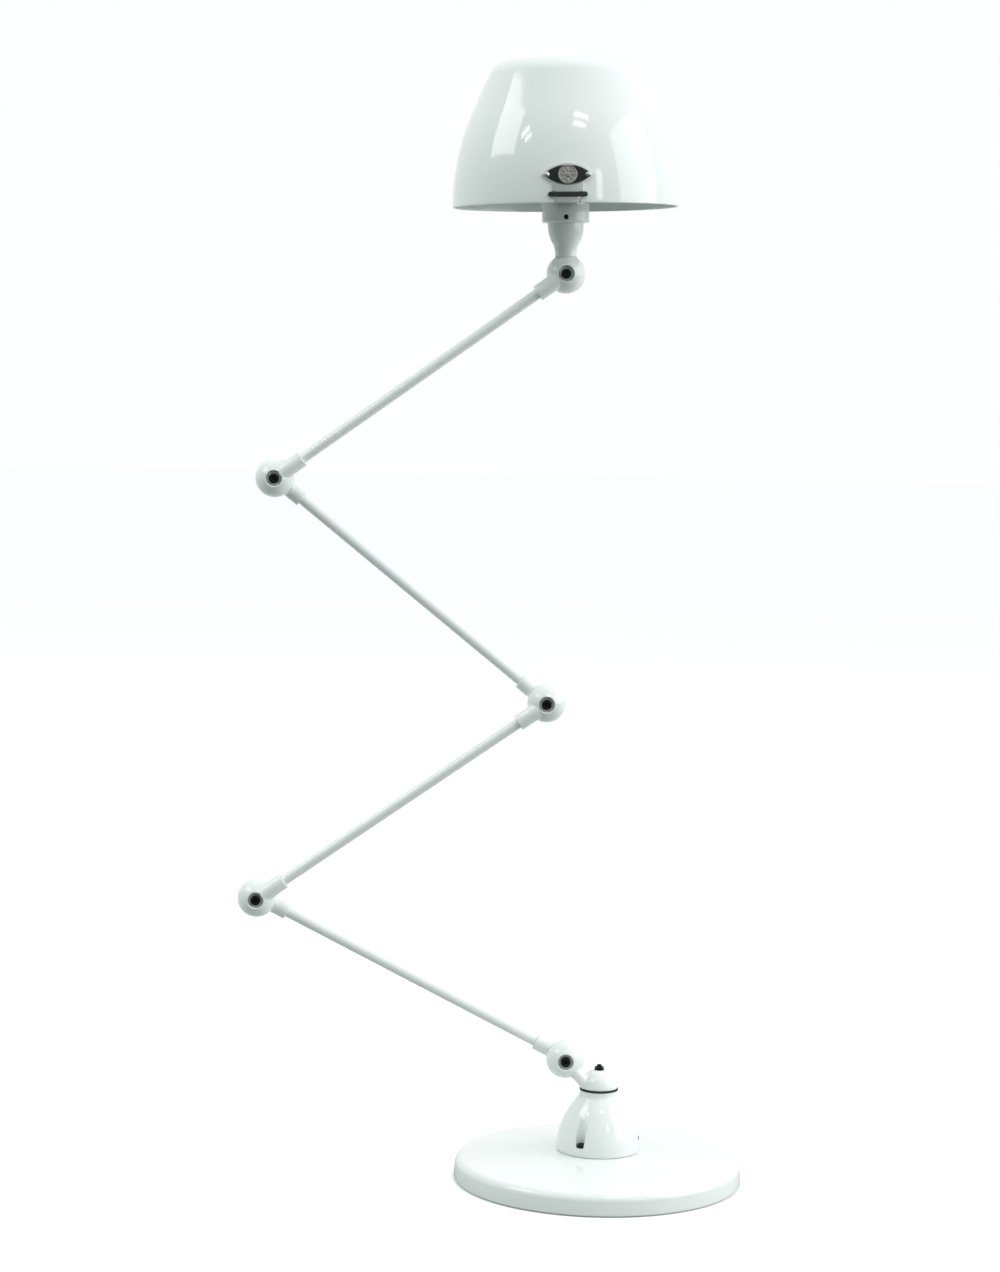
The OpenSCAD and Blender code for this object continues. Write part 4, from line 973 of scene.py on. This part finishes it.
def bent_plate(low, high, half_width, near, far, edge=0.2, rows=56, columns=36):
    """A plate that follows the shade's side, from near to far outside it, with its front edge broken."""
    bm = bmesh.new()

    def sheet(inset, out):
        made = []
        for i in range(rows + 1):
            t = (1 - math.cos(math.pi * i / rows)) / 2
            w = max(half_width(low + (high - low) * t) - inset, 0.02)
            z = low + inset + (high - low - 2 * inset) * t
            made.append([bm.verts.new(Vector(on_side(w * (2 * j / columns - 1), z, out)) * MM)
                         for j in range(columns + 1)])
        return made

    sheets = [sheet(0, near), sheet(0, far - edge), sheet(edge, far)]
    for made in (sheets[0], sheets[2]):
        for a, b in zip(made, made[1:]):
            for j in range(columns):
                bm.faces.new([a[j], a[j + 1], b[j + 1], b[j]])
    loops = [s[0] + [row[-1] for row in s[1:-1]] + s[-1][::-1] + [row[0] for row in s[-2:0:-1]] for s in sheets]
    for a, b in zip(loops, loops[1:]):
        for k in range(len(a)):
            n = (k + 1) % len(a)
            bm.faces.new([a[k], a[n], b[n], b[k]])
    bmesh.ops.remove_doubles(bm, verts=bm.verts, dist=0.06 * MM)
    bmesh.ops.recalc_face_normals(bm, faces=bm.faces)
    return bm


nickel = bare_metal("nickel_plated_steel", "#DCDCDC", 0.8, 0.3, 0.42)
plate_z = 22.6
strap_z = collar_top - rim_z


def bracket_width(z):
    if z < 9.4:
        return 9
    return max(13 if z < plate_z else 0, lens_width(43, 18.9, z - plate_z))


leaf = bent_plate(strap_z + 0.2, plate_z + 9.45, bracket_width, 0.1, 1.6, rows=90)
strap = upright_prism([(-9, strap_z), (9, strap_z), (9, strap_z + 1.5), (-9, strap_z + 1.5)], -95.9, -18.5)
strap_ring = turned(rounded([(17.5, strap_z), (20, strap_z, 0.2), (20, strap_z + 1.5, 0.2),
                             (17.5, strap_z + 1.5)]), 96)
to_rim = shift(0, 0, rim_z)
piece("shade_bracket_strip", [moved(part, to_rim, head_turn) for part in (leaf, strap, strap_ring)], nickel,
      "lamp_head", "bright_steel", "shade_bracket")


def buffer_width(z):
    return 14.2 + math.sqrt(max(4 - (z - 6.8) ** 2, 0))


buffer = bent_plate(4.8, 8.8, buffer_width, 1.6, 3.8, edge=0.7, rows=24, columns=48)
piece("bracket_buffer_strip", [moved(buffer, to_rim, head_turn)], black_rubber, "lamp_head", "black_rubber",
      "bracket_buffer")


# ---------- Nameplate ----------
# A small pointed-oval plate, black enamelled inside a bright raised edge, with a round pewter medallion in
# the middle. Two bright dome-headed screws hold it at its tips. The medallion has a plain rosette.

bright_edge = bent_plate(plate_z - 8.25, plate_z + 8.25, lambda z: lens_width(40.6, 16.5, z - plate_z), 1.6, 2.55)
piece("nameplate_bright_edge", [moved(bright_edge, to_rim, head_turn)], nickel, "lamp_head", "bright_steel",
      "nameplate")

gloss_black, tree = new_material("black_enamel_field")
place = add_node(tree, "ShaderNodeTexCoord").outputs["Object"]
dust = add_node(tree, "ShaderNodeTexNoise", {"Vector": place, "Scale": 1000 / 1.5, "Detail": 3.0})
dull = add_node(tree, "ShaderNodeMapRange", {"Value": dust.outputs["Fac"], "To Min": 0.1, "To Max": 0.22})
field = add_node(tree, "ShaderNodeBsdfPrincipled", {"Base Color": linear("#0B0C0D"), "IOR": 1.5,
                                                    "Roughness": dull.outputs["Result"]})
add_node(tree, "ShaderNodeOutputMaterial", {"Surface": field.outputs[0]})
black_field = bent_plate(plate_z - 7.9, plate_z + 7.9, lambda z: lens_width(39.6, 15.8, z - plate_z), 2.2, 2.64,
                         edge=0.08)
piece("nameplate_black_field", [moved(black_field, to_rim, head_turn)], gloss_black, "lamp_head", "plate_black")

pewter = bare_metal("cast_pewter", "#A7A3A2", 0.6, 0.34, 0.5)
medal_turn = (turn(90 - math.degrees(math.asin(plate_z / (side_r + 2.6))), "X"),
              Matrix.Translation(Vector(on_side(0, plate_z, 2.2)) * MM), to_rim, head_turn)
medal = turned(rounded([(0, 0), (7.75, 0), (7.75, 1.1, 0.25), (7.0, 1.15, 0.15), (6.8, 0.85, 0.1), (2.2, 0.85, 0.1),
                        (1.9, 1.2, 0.2), (0, 1.25)]), 72)
petal = bmesh.new()
bmesh.ops.create_uvsphere(petal, u_segments=16, v_segments=10, radius=1)
petal.transform(Matrix.Diagonal((1.85 * MM, 0.78 * MM, 0.42 * MM, 1)))
petal_part = mesh_of(petal, "rosette_petal", pewter)
petals = grown(round_the_axis, shift(0, 0, 0.84), part=petal_part, count=8, circle_radius=4.4 * MM,
               first_angle=0.0, finish=pewter)
piece("nameplate_medallion", [moved(medal, *medal_turn), moved(petals, *medal_turn)], pewter, "lamp_head",
      "bright_steel")

screw_blank = turned(rounded([(0, -6), (1.5, -6), (1.5, 0.4), (2.45, 0.4, 0.1), (2.2, 0.95, 0.5), (0, 1.55)]), 40)
dome_screw = cut(screw_blank, upright_prism([(-0.28, 1.0), (0.28, 1.0), (0.28, 2), (-0.28, 2)], -3, 3))
screw_part = mesh_of(moved(dome_screw, turn(35, "Z")), "dome_screw", nickel)
plate_screws = grown(round_the_axis, facing_front, part=screw_part, count=2, circle_radius=17 * MM, first_angle=0.0,
                     finish=nickel)
moved(plate_screws, shift(0, -94.75, plate_z), to_rim, head_turn)
piece("nameplate_dome_screws", [plate_screws], nickel, "lamp_head", "bright_steel", "nameplate_screws")
